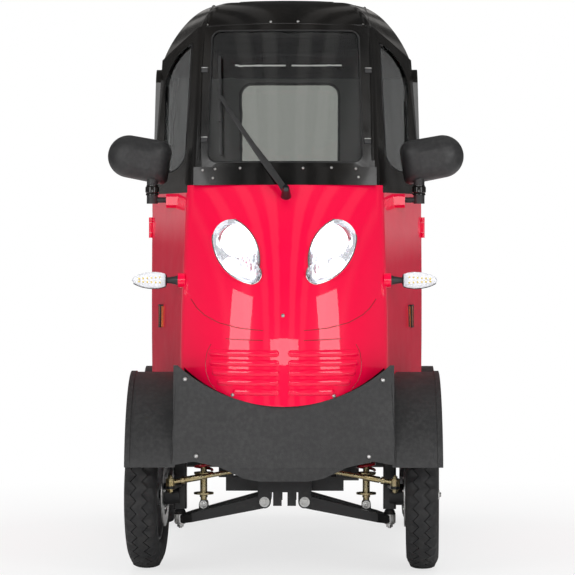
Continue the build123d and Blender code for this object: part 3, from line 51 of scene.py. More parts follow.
AIM = Vector((0.0, 0.05, 0.778))
GAZE = (AIM - EYE).to_track_quat("-Z", "Y").to_matrix()

# Places that the car's fittings share, in metres.
SIDES = {"left": 1, "right": -1}
FRONT_AXLE_Y = -0.55
REAR_AXLE_Y = 0.6
WHEEL_Z = 0.208
FRONT_WHEEL_X = 0.388
REAR_WHEEL_X = 0.412
REST_STEER = math.radians(-3.0)
KINGPIN_X = 0.295
MM = 0.001
ACROSS, AHEAD, UP = (1, 0, 0), (0, -1, 0), (0, 0, 1)


def placed(name, data):
    """A new object in the scene."""
    made = bpy.data.objects.new(name, data)
    bpy.context.collection.objects.link(made)
    return made


def mesh_of(name, bm):
    """A mesh with what was built; the bmesh is freed."""
    mesh = bpy.data.meshes.new(name)
    bm.to_mesh(mesh)
    bm.free()
    return mesh


def make_camera():
    """The long lens, a little to the car's left and just above its lamps."""
    data = bpy.data.cameras.new("camera")
    data.sensor_width = SENSOR
    data.lens = SENSOR * FOCAL_PIXELS / FRAME_SIZE
    data.clip_end = 60.0
    camera = placed("camera", data)
    camera.location = EYE
    camera.rotation_euler = GAZE.to_euler()
    bpy.context.scene.camera = camera


def soft_box(name, place, target, size, power, mirrored=True):
    """One studio lamp with a rectangular face, which gloss mirrors unless told otherwise."""
    data = bpy.data.lights.new(name, "AREA")
    data.shape = "RECTANGLE"
    data.size, data.size_y = size
    data.energy = power
    lamp = placed(name, data)
    lamp.location = place
    lamp.rotation_euler = (Vector(target) - Vector(place)).to_track_quat("-Z", "Y").to_euler()
    lamp.visible_glossy = mirrored


def make_lights():
    """A large box on each side of the camera, a low one, one overhead and one behind the car."""
    for side, sign in SIDES.items():
        soft_box(f"key_{side}", (sign * 3.2, -4.2, 2.2), (0, 0, 0.8), (1.7, 3.0), 66)
    soft_box("front_low", (0, -6.0, 1.6), (0, 0, 0.7), (2.4, 1.2), 34)
    soft_box("overhead", (0, 0.4, 4.4), (0, 0.2, 0), (3.0, 3.0), 52, False)
    soft_box("back", (0, 4.5, 2.6), (0, 0, 0.9), (3.0, 1.6), 44, False)


def cleared(owner):
    """Empties the nodes of a world or material, and returns what adds and what links new ones."""
    owner.use_nodes = True
    owner.node_tree.nodes.clear()
    return owner.node_tree.nodes.new, owner.node_tree.links.new


# What gloss mirrors of the studio: how far a direction leans to the side, and how bright it is there.
STUDIO_BANDS = (
    (0.06, 0.03), (0.08, 0.40), (0.14, 0.40), (0.16, 0.03), (0.22, 0.03), (0.24, 0.36), (0.30, 0.36),
    (0.33, 0.05), (0.44, 0.06), (0.48, 0.36), (0.55, 0.36), (0.59, 0.05), (0.72, 0.05), (0.78, 0.26), (0.84, 0.08),
)
WHITE = (1, 1, 1, 1)


def make_world():
    """White to the eye and behind glass; to gloss a dim studio with bright bands on each side."""
    world = bpy.data.worlds.new("studio")
    bpy.context.scene.world = world
    new, link = cleared(world)
    place, split, side = new("ShaderNodeTexCoord"), new("ShaderNodeSeparateXYZ"), new("ShaderNodeMath")
    link(place.outputs["Generated"], split.inputs[0])
    side.operation = "ABSOLUTE"
    link(split.outputs["X"], side.inputs[0])
    bands = new("ShaderNodeValToRGB")
    stops = bands.color_ramp.elements
    stops[0].color = (0.03, 0.03, 0.03, 1)
    stops[1].color = (0.20, 0.19, 0.19, 1)
    for position, level in STUDIO_BANDS:
        stops.new(position).color = (level, level * 0.97, level * 0.94, 1)
    link(side.outputs[0], bands.inputs[0])
    shine, gloss, open_air = (new("ShaderNodeBackground") for _ in range(3))
    for sky, strength in ((shine, 0.55), (gloss, 1.0), (open_air, 1.0)):
        sky.inputs["Color"].default_value = WHITE
        sky.inputs["Strength"].default_value = strength
    link(bands.outputs[0], gloss.inputs["Color"])
    rays, seen = new("ShaderNodeLightPath"), new("ShaderNodeMath")
    seen.operation = "MAXIMUM"
    link(rays.outputs["Is Camera Ray"], seen.inputs[0])
    link(rays.outputs["Is Transmission Ray"], seen.inputs[1])
    mirrored, whole = new("ShaderNodeMixShader"), new("ShaderNodeMixShader")
    for mix, *sources in (
        (mirrored, rays.outputs["Is Glossy Ray"], shine.outputs[0], gloss.outputs[0]),
        (whole, seen.outputs[0], mirrored.outputs[0], open_air.outputs[0]),
    ):
        for socket, source in zip(mix.inputs, sources):
            link(source, socket)
    link(whole.outputs[0], new("ShaderNodeOutputWorld").inputs[0])


def make_floor():
    """A pale floor that takes the car's shadow and runs out to white."""
    bm = bmesh.new()
    bmesh.ops.create_grid(bm, x_segments=1, y_segments=1, size=3.2)
    floor = placed("floor", mesh_of("floor", bm))
    material = bpy.data.materials.new("pale_floor")
    new, link = cleared(material)
    matte, white, both = new("ShaderNodeBsdfDiffuse"), new("ShaderNodeEmission"), new("ShaderNodeMixShader")
    matte.inputs["Color"].default_value = (0.86, 0.86, 0.86, 1)
    white.inputs["Color"].default_value = WHITE
    place, reach, fade = new("ShaderNodeTexCoord"), new("ShaderNodeVectorMath"), new("ShaderNodeMapRange")
    reach.operation = "LENGTH"
    link(place.outputs["Object"], reach.inputs[0])
    for socket, value in (("From Min", 1.0), ("From Max", 2.2), ("To Min", 0.72), ("To Max", 1.0)):
        fade.inputs[socket].default_value = value
    link(reach.outputs["Value"], fade.inputs["Value"])
    rays, share = new("ShaderNodeLightPath"), new("ShaderNodeMath")
    share.operation = "MULTIPLY"
    link(rays.outputs["Is Camera Ray"], share.inputs[0])
    link(fade.outputs[0], share.inputs[1])
    for socket, source in zip(both.inputs, (share, matte, white)):
        link(source.outputs[0], socket)
    link(both.outputs[0], new("ShaderNodeOutputMaterial").inputs[0])
    floor.data.materials.append(material)


class Finish:
    """A surface finish: its principled shader and the textures that drive it, all on object coordinates."""

    def __init__(self, name, colour, roughness, metallic=0.0):
        self.material = bpy.data.materials.new(name)
        self.material.use_nodes = True
        self.tree = self.material.node_tree
        self.shader = self.tree.nodes["Principled BSDF"]
        self.colour = colour
        self.set("Base Color", (*colour, 1.0))
        self.set("Roughness", roughness)
        self.set("Metallic", metallic)
        self.coords = self.tree.nodes.new("ShaderNodeTexCoord").outputs["Object"]
        self.normal = None

    def set(self, socket, value):
        self.shader.inputs[socket].default_value = value

    def node(self, kind, **values):
        made = self.tree.nodes.new(kind)
        for name, value in values.items():
            setattr(made, name, value)
        return made

    def link(self, start, end):
        self.tree.links.new(start, end)

    def grain(self, scale, detail=4.0, stretch=(1, 1, 1)):
        """Fractal noise, stretched along the car's axes."""
        mapping = self.node("ShaderNodeMapping")
        mapping.inputs["Scale"].default_value = stretch
        self.link(self.coords, mapping.inputs["Vector"])
        noise = self.node("ShaderNodeTexNoise")
        noise.inputs["Scale"].default_value = scale
        noise.inputs["Detail"].default_value = detail
        self.link(mapping.outputs[0], noise.inputs["Vector"])
        return noise.outputs["Fac"]

    def cells(self, scale, feature="F1", output="Distance"):
        """Pebbles or chips of even size."""
        cells = self.node("ShaderNodeTexVoronoi", feature=feature)
        cells.inputs["Scale"].default_value = scale
        self.link(self.coords, cells.inputs["Vector"])
        return cells.outputs[output]

    def spread(self, source, low, high, start=0.0, end=1.0):
        """A value between two levels, following a texture between two of its own."""
        ramp = self.node("ShaderNodeMapRange")
        for socket, value in (("From Min", start), ("From Max", end), ("To Min", low), ("To Max", high)):
            ramp.inputs[socket].default_value = value
        self.link(source, ramp.inputs["Value"])
        return ramp.outputs[0]

    def tint(self, source, other, start=0.35, end=0.65, amount=1.0):
        """Lets the colour drift to another where a texture is high."""
        mix = self.node("ShaderNodeMix", data_type="RGBA")
        colours = [s for s in mix.inputs if s.type == "RGBA"]
        colours[0].default_value = (*self.colour, 1.0)
        colours[1].default_value = (*other, 1.0)
        before = self.shader.inputs["Base Color"].links
        if before:
            self.link(before[0].from_socket, colours[0])
        self.link(self.spread(source, 0.0, amount, start, end), mix.inputs["Factor"])
        self.link([s for s in mix.outputs if s.type == "RGBA"][0], self.shader.inputs["Base Color"])
        return self

    def dull(self, source, low, high):
        """Lets roughness drift between two levels."""
        self.link(self.spread(source, low, high, 0.3, 0.7), self.shader.inputs["Roughness"])
        return self

    def relief(self, source, height, strength=1.0):
        """Raises the surface by a texture, height in metres."""
        bump = self.node("ShaderNodeBump")
        bump.inputs["Strength"].default_value = strength
        bump.inputs["Distance"].default_value = height
        self.link(source, bump.inputs["Height"])
        if self.normal:
            self.link(self.normal, bump.inputs["Normal"])
        self.normal = bump.outputs[0]
        self.link(self.normal, self.shader.inputs["Normal"])
        return self

    def within(self, spans):
        """1 inside some planes, each given as weights for |x|, y and z and the least they may add up to."""
        split = self.node("ShaderNodeSeparateXYZ")
        self.link(self.coords, split.inputs[0])
        across = self.node("ShaderNodeMath", operation="ABSOLUTE")
        self.link(split.outputs["X"], across.inputs[0])
        joined = self.node("ShaderNodeCombineXYZ")
        for socket, source in zip("XYZ", (across.outputs[0], split.outputs["Y"], split.outputs["Z"])):
            self.link(source, joined.inputs[socket])
        inside = None
        for weights, least in spans:
            dot = self.node("ShaderNodeVectorMath", operation="DOT_PRODUCT")
            dot.inputs[1].default_value = weights
            self.link(joined.outputs[0], dot.inputs[0])
            over = self.node("ShaderNodeMath", operation="GREATER_THAN")
            over.inputs[1].default_value = least
            self.link(dot.outputs["Value"], over.inputs[0])
            if inside is None:
                inside = over.outputs[0]
                continue
            both = self.node("ShaderNodeMath", operation="MULTIPLY")
            self.link(inside, both.inputs[0])
            self.link(over.outputs[0], both.inputs[1])
            inside = both.outputs[0]
        return inside

    def coat(self, weight, roughness):
        self.set("Coat Weight", weight)
        self.set("Coat Roughness", roughness)
        return self

    def glow(self, colour, strength):
        self.set("Emission Color", (*colour, 1.0))
        self.set("Emission Strength", strength)
        return self

    def clear(self, passes, ior=1.45):
        """See-through, and lets the lamps' light through to what is behind."""
        self.set("Transmission Weight", 1.0)
        self.set("IOR", ior)
        self.set("Base Color", (*passes, 1.0))
        rays = self.node("ShaderNodeLightPath")
        veil = self.node("ShaderNodeBsdfTransparent")
        veil.inputs["Color"].default_value = (*passes, 1.0)
        both = self.node("ShaderNodeMixShader")
        self.link(rays.outputs["Is Shadow Ray"], both.inputs[0])
        self.link(self.shader.outputs[0], both.inputs[1])
        self.link(veil.outputs[0], both.inputs[2])
        self.link(both.outputs[0], self.tree.nodes["Material Output"].inputs["Surface"])
        return self


# The space that the cabin's walls enclose: body panels below the waist, and the frame above it.
BODY_INSIDE = [((-1, 0, 0), -0.392), ((0, 1, 0), -0.13), ((0, -1, 0), -0.70), ((0, 0, -1), -1.05)]
FRAME_INSIDE = [((-1, 0, -0.075), -0.467), ((0, -1, -0.154), -0.952), ((0, 1, 0), -0.10), ((0, 0, -1), -1.45)]


def red_lacquer():
    f = Finish("red_lacquer", (0.95, 0.0, 0.055), 0.30)
    f.tint(f.grain(2.0, 1.0), (0.92, 0.0, 0.050), amount=0.5)
    f.dull(f.grain(14.0), 0.30, 0.40)
    f.relief(f.grain(300.0, 1.0), 0.00001, 0.05)
    f.tint(f.within(BODY_INSIDE), (0.05, 0.05, 0.052), 0.4, 0.6)
    f.set("Specular IOR Level", 0.12)
    return f.coat(1.0, 0.03)


def roof_gloss():
    f = Finish("roof_gloss", (0.006, 0.006, 0.006), 0.16)
    f.tint(f.grain(5.0), (0.010, 0.009, 0.008))
    f.dull(f.grain(18.0), 0.12, 0.22)
    f.relief(f.grain(60.0, 2.0), 0.00004, 0.12)
    f.tint(f.within(FRAME_INSIDE), (0.16, 0.165, 0.16), 0.4, 0.6)
    f.set("Specular IOR Level", 0.35)
    return f.coat(0.35, 0.06)


def grained_plastic():
    f = Finish("grained_plastic", (0.024, 0.024, 0.025), 0.5)
    f.tint(f.grain(90.0, 6.0), (0.040, 0.040, 0.040), 0.4, 0.75)
    f.tint(f.grain(3.0), (0.018, 0.018, 0.019), 0.45, 0.8, 0.7)
    f.dull(f.grain(30.0), 0.40, 0.52)
    f.relief(f.cells(520.0), 0.0004, 0.45)
    return f.relief(f.grain(900.0, 3.0), 0.0003, 0.3)


def interior_plastic():
    f = Finish("interior_plastic", (0.030, 0.030, 0.032), 0.6)
    f.tint(f.grain(15.0), (0.045, 0.045, 0.046))
    f.dull(f.grain(40.0), 0.5, 0.7)
    return f.relief(f.cells(700.0), 0.0003, 0.4)


def chassis_coat():
    f = Finish("chassis_coat", (0.009, 0.009, 0.010), 0.34)
    f.tint(f.grain(35.0, 6.0), (0.05, 0.045, 0.04), 0.58, 0.85, 0.6)
    f.dull(f.grain(25.0), 0.28, 0.5)
    return f.relief(f.grain(500.0, 3.0), 0.0002, 0.4)


def yellow_zinc():
    f = Finish("yellow_zinc", (0.50, 0.40, 0.20), 0.3, 1.0)
    f.tint(f.grain(45.0), (0.48, 0.42, 0.26))
    f.tint(f.grain(80.0, 5.0), (0.52, 0.33, 0.22), 0.55, 0.8, 0.7)
    f.dull(f.grain(120.0), 0.2, 0.42)
    return f.relief(f.grain(700.0), 0.0001, 0.3)


def bright_steel():
    f = Finish("bright_steel", (0.66, 0.66, 0.65), 0.34, 1.0)
    f.tint(f.grain(90.0, 5.0), (0.42, 0.41, 0.40), 0.5, 0.8)
    f.dull(f.grain(150.0), 0.28, 0.46)
    return f.relief(f.grain(900.0), 0.0001, 0.25)


def spring_lacquer():
    f = Finish("spring_lacquer", (0.42, 0.006, 0.016), 0.3)
    f.tint(f.grain(60.0, 5.0), (0.22, 0.01, 0.012), 0.5, 0.8)
    f.relief(f.grain(400.0), 0.0001, 0.3)
    return f.coat(0.7, 0.08)


def tread_rubber():
    f = Finish("tread_rubber", (0.014, 0.014, 0.015), 0.66)
    f.tint(f.grain(26.0, 6.0), (0.030, 0.029, 0.028), 0.48, 0.8)
    f.tint(f.grain(160.0, 4.0), (0.06, 0.058, 0.055), 0.62, 0.85, 0.6)
    f.dull(f.grain(60.0), 0.6, 0.85)
    return f.relief(f.grain(900.0), 0.0002, 0.4)


def soft_rubber():
    f = Finish("soft_rubber", (0.013, 0.013, 0.014), 0.5)
    f.tint(f.grain(50.0), (0.025, 0.025, 0.025))
    f.dull(f.grain(70.0), 0.4, 0.62)
    return f.relief(f.grain(600.0), 0.0002, 0.35)


def cast_alloy():
    f = Finish("cast_alloy", (0.55, 0.55, 0.56), 0.4, 1.0)
    f.tint(f.grain(70.0), (0.42, 0.42, 0.43))
    f.dull(f.grain(90.0), 0.32, 0.52)
    return f.relief(f.grain(500.0), 0.0003, 0.4)


def leatherette():
    f = Finish("leatherette", (0.018, 0.018, 0.019), 0.5)
    f.tint(f.grain(30.0), (0.03, 0.03, 0.031))
    f.dull(f.grain(45.0), 0.42, 0.6)
    f.relief(f.cells(420.0, "DISTANCE_TO_EDGE"), 0.0005, 0.35)
    return f.relief(f.grain(40.0, 3.0), 0.0015, 0.25)


def reflector_chrome():
    f = Finish("reflector_chrome", (0.85, 0.86, 0.88), 0.12, 1.0)
    f.tint(f.grain(60.0), (0.75, 0.76, 0.78))
    return f.relief(f.cells(90.0), 0.0008, 0.4)


def mirror_silver():
    f = Finish("mirror_silver", (0.88, 0.89, 0.90), 0.02, 1.0)
    f.tint(f.grain(8.0), (0.84, 0.86, 0.88))
    return f.dull(f.grain(20.0), 0.01, 0.04)


def cabin_glass():
    f = Finish("cabin_glass", (0.70, 0.72, 0.72), 0.0)
    f.relief(f.grain(3.0, 1.0), 0.0004, 0.15)
    return f.clear((0.66, 0.67, 0.67))


def rear_tint():
    f = Finish("rear_tint", (0.36, 0.37, 0.34), 0.0)
    f.relief(f.grain(3.0, 1.0), 0.0004, 0.15)
    return f.clear((0.36, 0.37, 0.34))


def display_black():
    f = Finish("display_black", (0.006, 0.007, 0.009), 0.12)
    f.tint(f.grain(12.0), (0.012, 0.014, 0.018))
    f.dull(f.grain(40.0), 0.08, 0.16)
    return f.coat(0.8, 0.03)


def strip_light():
    f = Finish("strip_light", (0.80, 0.80, 0.76), 0.4)
    f.tint(f.grain(50.0), (0.70, 0.70, 0.66))
    return f.glow((1.0, 1.0, 0.94), 0.5)


def clear_lens():
    f = Finish("clear_lens", (0.95, 0.96, 0.97), 0.03)
    f.relief(f.grain(30.0, 1.0), 0.0004, 0.2)
    return f.clear((0.93, 0.94, 0.95), 1.22)


def amber_lens():
    f = Finish("amber_lens", (0.72, 0.20, 0.01), 0.18)
    f.tint(f.cells(260.0), (0.50, 0.10, 0.005), 0.1, 0.6)
    f.relief(f.cells(260.0), 0.0006, 0.5)
    return f.coat(0.9, 0.05)


def tail_red_lens():
    f = Finish("tail_red_lens", (0.50, 0.008, 0.012), 0.16)
    f.tint(f.cells(220.0), (0.28, 0.003, 0.006), 0.1, 0.6)
    f.relief(f.cells(220.0), 0.0006, 0.5)
    return f.coat(0.9, 0.05)


def lamp_glow():
    f = Finish("lamp_glow", (1.0, 1.0, 1.0), 0.4)
    f.tint(f.grain(40.0), (0.92, 0.95, 1.0))
    return f.glow((0.95, 0.97, 1.0), 9.0)


def lamp_bowl_painted_glow():
    f = Finish("lamp_bowl_painted_glow", (0.95, 0.96, 1.0), 0.3)
    f.tint(f.grain(60.0), (0.85, 0.87, 0.9))
    f.relief(f.cells(120.0), 0.0008, 0.4)
    # Painted glow: the bowl is no light source; this emission stands in for the bulb's light on it.
    return f.glow((0.95, 0.97, 1.0), 1.1)


def indicator_white_painted_glow():
    f = Finish("indicator_white_painted_glow", (0.78, 0.78, 0.80), 0.35)
    f.tint(f.cells(330.0), (0.50, 0.50, 0.52), 0.05, 0.35)
    f.relief(f.cells(330.0), 0.0008, 0.5)
    # Painted glow: the board behind the lens is no light source.
    return f.glow((0.95, 0.97, 1.0), 0.22)


def led_chip():
    f = Finish("led_chip", (0.80, 0.62, 0.10), 0.3)
    f.tint(f.grain(500.0), (0.7, 0.5, 0.08))
    return f.coat(0.5, 0.1)


FINISHES = {
    make.__name__: make().material
    for make in (
        red_lacquer, roof_gloss, grained_plastic, interior_plastic, chassis_coat, yellow_zinc, bright_steel,
        spring_lacquer, tread_rubber, soft_rubber, cast_alloy, leatherette, reflector_chrome, mirror_silver,
        cabin_glass, rear_tint, clear_lens, amber_lens, tail_red_lens, lamp_glow, lamp_bowl_painted_glow, led_chip,
        display_black, strip_light, indicator_white_painted_glow,
    )
}

# The finish of each CAD node; the names of paired nodes lose their side.
NODE_FINISHES = {
    "chassis_coat": "chassis_frame suspension_arms rear_axle knuckle steering_column pitman_shaft",
    "bright_steel": "ball_joints",
    "yellow_zinc": "dampers tie_rod",
    "spring_lacquer": "coil_springs",
    "interior_plastic": "floor_pan seat_base battery_pack dashboard",
    "leatherette": "seat_cushion seat_back",
    "red_lacquer": "nose_panel front_side_panels rear_body door_panel trunk_lid",
    "grained_plastic": "front_mudguard rear_mudguard mirrors wiper",
    "roof_gloss": "cowl cabin_frame roof_panel door_frame",
    "cabin_glass": "windshield side_windows door_glass",
    "rear_tint": "rear_window",
    "clear_lens": "headlamps indicator_lamps",
    "amber_lens": "side_markers",
    "tail_red_lens": "tail_lamps",
    "mirror_silver": "mirror_glass",
    "soft_rubber": "handlebar_grips",
    "tread_rubber": "tyre_front tyre_rear",
    "cast_alloy": "rim_front rim_rear",
}


def dress_nodes():
    """Gives every CAD node its finish."""
    for finish, stems in NODE_FINISHES.items():
        for stem in stems.split():
            names = [stem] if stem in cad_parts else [f"{stem}_{side}" for side in SIDES]
            for name in names:
                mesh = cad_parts[name].data
                mesh.materials.clear()
                mesh.materials.append(FINISHES[finish])


def finished(name, bm, finish, body="root", crease=35.0):
    """Turns a mesh into a piece that rides on a body; edges sharper than crease stay crisp."""
    mesh = mesh_of(name, bm)
    mesh.materials.append(FINISHES[finish])
    mesh.shade_smooth()
    mesh.set_sharp_from_angle(angle=math.radians(crease))
    piece = placed(name, mesh)
    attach(piece, body)
    return piece


def facing(place, normal):
    """A frame whose Z is a surface's normal."""
    return Matrix.Translation(place) @ Vector(normal).to_track_quat("Z", "Y").to_matrix().to_4x4()


surfaces = {}


def surface_of(node):
    """A node's faces, ready to be met by a line."""
    if node not in surfaces:
        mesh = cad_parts[node].data
        surfaces[node] = BVHTree.FromPolygons(
            [v.co.copy() for v in mesh.vertices], [tuple(p.vertices) for p in mesh.polygons]
        )
    return surfaces[node]


def seen_on(node, across, down):
    """Where the line of sight through a pixel of the photograph meets a node, and the normal there."""
    middle = FRAME_SIZE / 2
    slope = Vector(((across - middle) / FOCAL_PIXELS, (middle - down) / FOCAL_PIXELS, -1))
    place, normal, _, _ = surface_of(node).ray_cast(EYE, (GAZE @ slope).normalized())
    return place, normal


def first_seen(nodes, across, down):
    """The nearest of several nodes along the line of sight through a pixel."""
    hits = [hit for hit in (seen_on(node, across, down) for node in nodes) if hit[0] is not None]
    return min(hits, key=lambda hit: (hit[0] - EYE).length) if hits else (None, None)


def dropped_on(node, start, direction):
    """Where a line from a point meets a node, and the surface's normal there."""
    place, normal, _, _ = surface_of(node).ray_cast(Vector(start), Vector(direction).normalized())
    return place, normal


def edges_of(verts):
    return list(dict.fromkeys(e for v in verts for e in v.link_edges))


def faces_of(verts):
    return list(dict.fromkeys(f for v in verts for f in v.link_faces))


def soften(bm, edges, offset, segments=2):
    """Rounds edges off."""
    bmesh.ops.bevel(
        bm, geom=edges, offset=offset, segments=segments, affect="EDGES", profile=0.5, material=-1,
        clamp_overlap=True,
    )


def spun(bm, geom, axis, steps):
    """Turns loose points and edges once round an axis."""
    bmesh.ops.spin(bm, geom=geom, cent=(0, 0, 0), axis=axis, angle=math.tau, steps=steps, use_merge=True)


def add_turned(bm, profile, matrix, steps=32, unit=MM):
    """Turns a profile about Z into a closed skin; its pairs of radius and height count in the unit."""
    before = set(bm.verts)
    ring = [bm.verts.new((radius * unit, 0.0, height * unit)) for radius, height in profile]
    spun(bm, ring + [bm.edges.new(pair) for pair in zip(ring, ring[1:])], UP, steps)
    made = [v for v in bm.verts if v not in before]
    bmesh.ops.remove_doubles(bm, verts=made, dist=1e-6)
    made = [v for v in made if v.is_valid]
    bmesh.ops.recalc_face_normals(bm, faces=faces_of(made))
    bmesh.ops.transform(bm, matrix=matrix, verts=made)


# Profiles of fasteners, in parts of their own radius.
SCREW_HEAD = [
    (0, 0.22), (0.38, 0.22), (0.42, 0.62), (0.72, 0.52), (0.95, 0.22), (1, 0.05), (1, -0.2), (0, -0.2),
]
WASHER = [(0, 0), (1.35, 0), (1.35, 0.2), (0, 0.2)]
THREAD_END = [(0, 1.3), (0.4, 1.3), (0.5, 1.2), (0.5, 0.6)]


def add_screw(bm, place, normal, radius):
    """A domed head with a socket, on a flat washer."""
    add_turned(bm, SCREW_HEAD, facing(place, normal), 12, radius)


def add_bolt(bm, place, normal, radius):
    """A hexagon head on a washer, with the end of its thread showing."""
    matrix = facing(place, normal)
    add_turned(bm, WASHER, matrix, 20, radius)
    head = bmesh.ops.create_cone(
        bm, cap_ends=True, segments=6, radius1=radius, radius2=radius, depth=radius * 0.8,
        matrix=matrix @ Matrix.Translation((0, 0, radius * 0.55)),
    )
    soften(bm, edges_of(head["verts"]), radius * 0.08)
    add_turned(bm, THREAD_END, matrix, 12, radius)


def add_block(bm, matrix, size, edge):
    """A block with rounded edges, centred on a frame."""
    made = bmesh.ops.create_cube(bm, size=1.0, matrix=matrix @ Matrix.Diagonal((*size, 1)))
    soften(bm, edges_of(made["verts"]), edge, 3)


def add_prism(bm, start, end, radius, sides=6):
    """A nut or sleeve with flats, between two places."""
    made = bmesh.ops.create_cone(
        bm, cap_ends=True, segments=sides, radius1=radius, radius2=radius, depth=(end - start).length,
        matrix=facing((start + end) / 2, end - start),
    )
    soften(bm, edges_of(made["verts"]), radius * 0.1)


def add_bar(bm, stations):
    """A flat bar through stations of place, sideways, outward, width and height."""
    loops, rings = [], []
    for place, across, outward, width, height in stations:
        a, o = Vector(across).normalized() * width / 2, Vector(outward).normalized() * height / 2
        loop = [bm.verts.new(Vector(place) + s * a + t * o) for s, t in ((-1, -1), (1, -1), (1, 1), (-1, 1))]
        loops.append(loop)
        rings.append([bm.edges.new(pair) for pair in zip(loop, loop[1:] + loop[:1])])
    for first, second in zip(rings, rings[1:]):
        bmesh.ops.bridge_loops(bm, edges=first + second)
    for loop in (loops[0], loops[-1]):
        bmesh.ops.contextual_create(bm, geom=loop)
    verts = sum(loops, [])
    bmesh.ops.recalc_face_normals(bm, faces=faces_of(verts))
    soften(bm, edges_of(verts), min(min(station[3:]) for station in stations) * 0.18)


def tube(name, points, radius, finish, body="root", closed=False, smooth=False):
    """A round bead or bar along points."""
    curve = bpy.data.curves.new(name, "CURVE")
    curve.dimensions = "3D"
    curve.bevel_depth = radius
    curve.bevel_resolution = 2
    curve.use_fill_caps = True
    spline = curve.splines.new("NURBS" if smooth else "POLY")
    spline.points.add(len(points) - 1)
    for point, place in zip(spline.points, points):
        point.co = (*place, 1.0)
    spline.use_cyclic_u = closed
    if smooth:
        spline.order_u = 4
        spline.use_endpoint_u = not closed
        spline.resolution_u = 6
    curve.materials.append(FINISHES[finish])
    piece = placed(name, curve)
    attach(piece, body)


def wheel_place(end, sign):
    """From a wheel about the origin with its axle on X to its place on the car."""
    if end == "rear":
        return Matrix.Translation((sign * REAR_WHEEL_X, REAR_AXLE_Y, WHEEL_Z))
    pin = Matrix.Translation((sign * KINGPIN_X, FRONT_AXLE_Y, WHEEL_Z))
    reach = Matrix.Translation((sign * (FRONT_WHEEL_X - KINGPIN_X), 0, 0))
    return pin @ Matrix.Rotation(REST_STEER, 4, "Z") @ reach


def wheels():
    """Each wheel's name, the sign of its side and its place."""
    for end in ("front", "rear"):
        for side, sign in SIDES.items():
            yield f"{end}_{side}", sign, wheel_place(end, sign)


# Tyre: rows of the carcass from the bead over the tread, as half width and radius in millimetres.
TYRE_SIDE_ROWS = [(34, 128), (37, 131), (39.5, 137), (42.5, 147), (44.7, 158), (45, 168), (44, 177), (41.5, 186)]
TYRE_TREAD_ROWS = [(37.5, 192), (32, 197.4), (25.5, 201.6), (17.4, 205.3), (14.6, 206.2), (7, 207.7), (0, 208)]
TYRE_RIBS = [(43.6, 178), (41.5, 150)]
TYRE_PERIODS = 36
STEPS_A_PERIOD = 8
ZIGZAG = 8.0
GROOVE_DEPTH = 4.5
# The groove's lane across the tread, and where the tread begins, in metres.
LANE_NEAR, LANE_FAR, TREAD_RADIUS, SHOULDER_RADIUS = 0.0145, 0.0176, 0.2, 0.19


def make_tyres():
    """Road tyres with a zigzag groove on each side of the crown and moulded ribs on the walls, for the plain ones.
    """
    half = TYRE_SIDE_ROWS + TYRE_TREAD_ROWS
    rows = [(-x, r) for x, r in half] + [(x, r) for x, r in reversed(half[:-1])]
    for wheel, _, place in wheels():
        bm = bmesh.new()
        ring = [bm.verts.new((x * MM, 0, r * MM)) for x, r in rows]
        edges = [bm.edges.new(pair) for pair in zip(ring, ring[1:] + ring[:1])]
        spun(bm, ring + edges, ACROSS, TYRE_PERIODS * STEPS_A_PERIOD)
        bmesh.ops.recalc_face_normals(bm, faces=bm.faces)
        lanes = [f for f in bm.faces if LANE_NEAR < abs(f.calc_center_median().x) < LANE_FAR]
        lanes = [f for f in lanes if math.hypot(*f.calc_center_median().yz) > TREAD_RADIUS]
        for vertex in bm.verts:
            width = abs(vertex.co.x)
            if math.hypot(*vertex.co.yz) > SHOULDER_RADIUS:
                turn = math.atan2(vertex.co.y, vertex.co.z) / math.tau * TYRE_PERIODS
                wave = 4 * abs((turn % 1.0) - 0.5) - 1
                fade = min(1.0, (0.0375 - width) / 0.012) * min(1.0, width / 0.0146)
                vertex.co.x += wave * ZIGZAG * MM * max(0.0, fade)
        made = bmesh.ops.extrude_face_region(bm, geom=lanes)
        bmesh.ops.delete(bm, geom=[f for f in lanes if f.is_valid], context="FACES")
        for vertex in [g for g in made["geom"] if isinstance(g, bmesh.types.BMVert)]:
            sunk = 1 - GROOVE_DEPTH * MM / math.hypot(*vertex.co.yz)
            vertex.co.y *= sunk
            vertex.co.z *= sunk
        for x, radius in TYRE_RIBS:
            for face in (-1, 1):
                add_rib(bm, face * x * MM, radius * MM, 0.0011)
        bmesh.ops.transform(bm, matrix=place, verts=bm.verts)
        node = f"tyre_{wheel}"
        piece = finished(f"treaded_{node}", bm, "tread_rubber", f"wheel_{wheel}", 32)
        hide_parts(node)


def add_rib(bm, x, radius, thickness):
    """A thin moulded rib round a tyre's wall."""
    place = Matrix.Translation((x, 0, radius)) @ Matrix.Rotation(math.pi / 2, 4, "X")
    verts = bmesh.ops.create_circle(bm, cap_ends=False, segments=6, radius=thickness, matrix=place)["verts"]
    spun(bm, verts + edges_of(verts), ACROSS, 72)


# Coil springs: place across the car, along it, lowest and highest point in metres.
SPRINGS = [(0.229, FRONT_AXLE_Y, 0.272, 0.4372), (0.285, REAR_AXLE_Y, 0.2948, 0.3922)]
SPRING_RADIUS = 0.0235
SPRING_WIRE = 0.0042
SPRING_PITCH = 0.0205
STEPS_A_TURN = 24


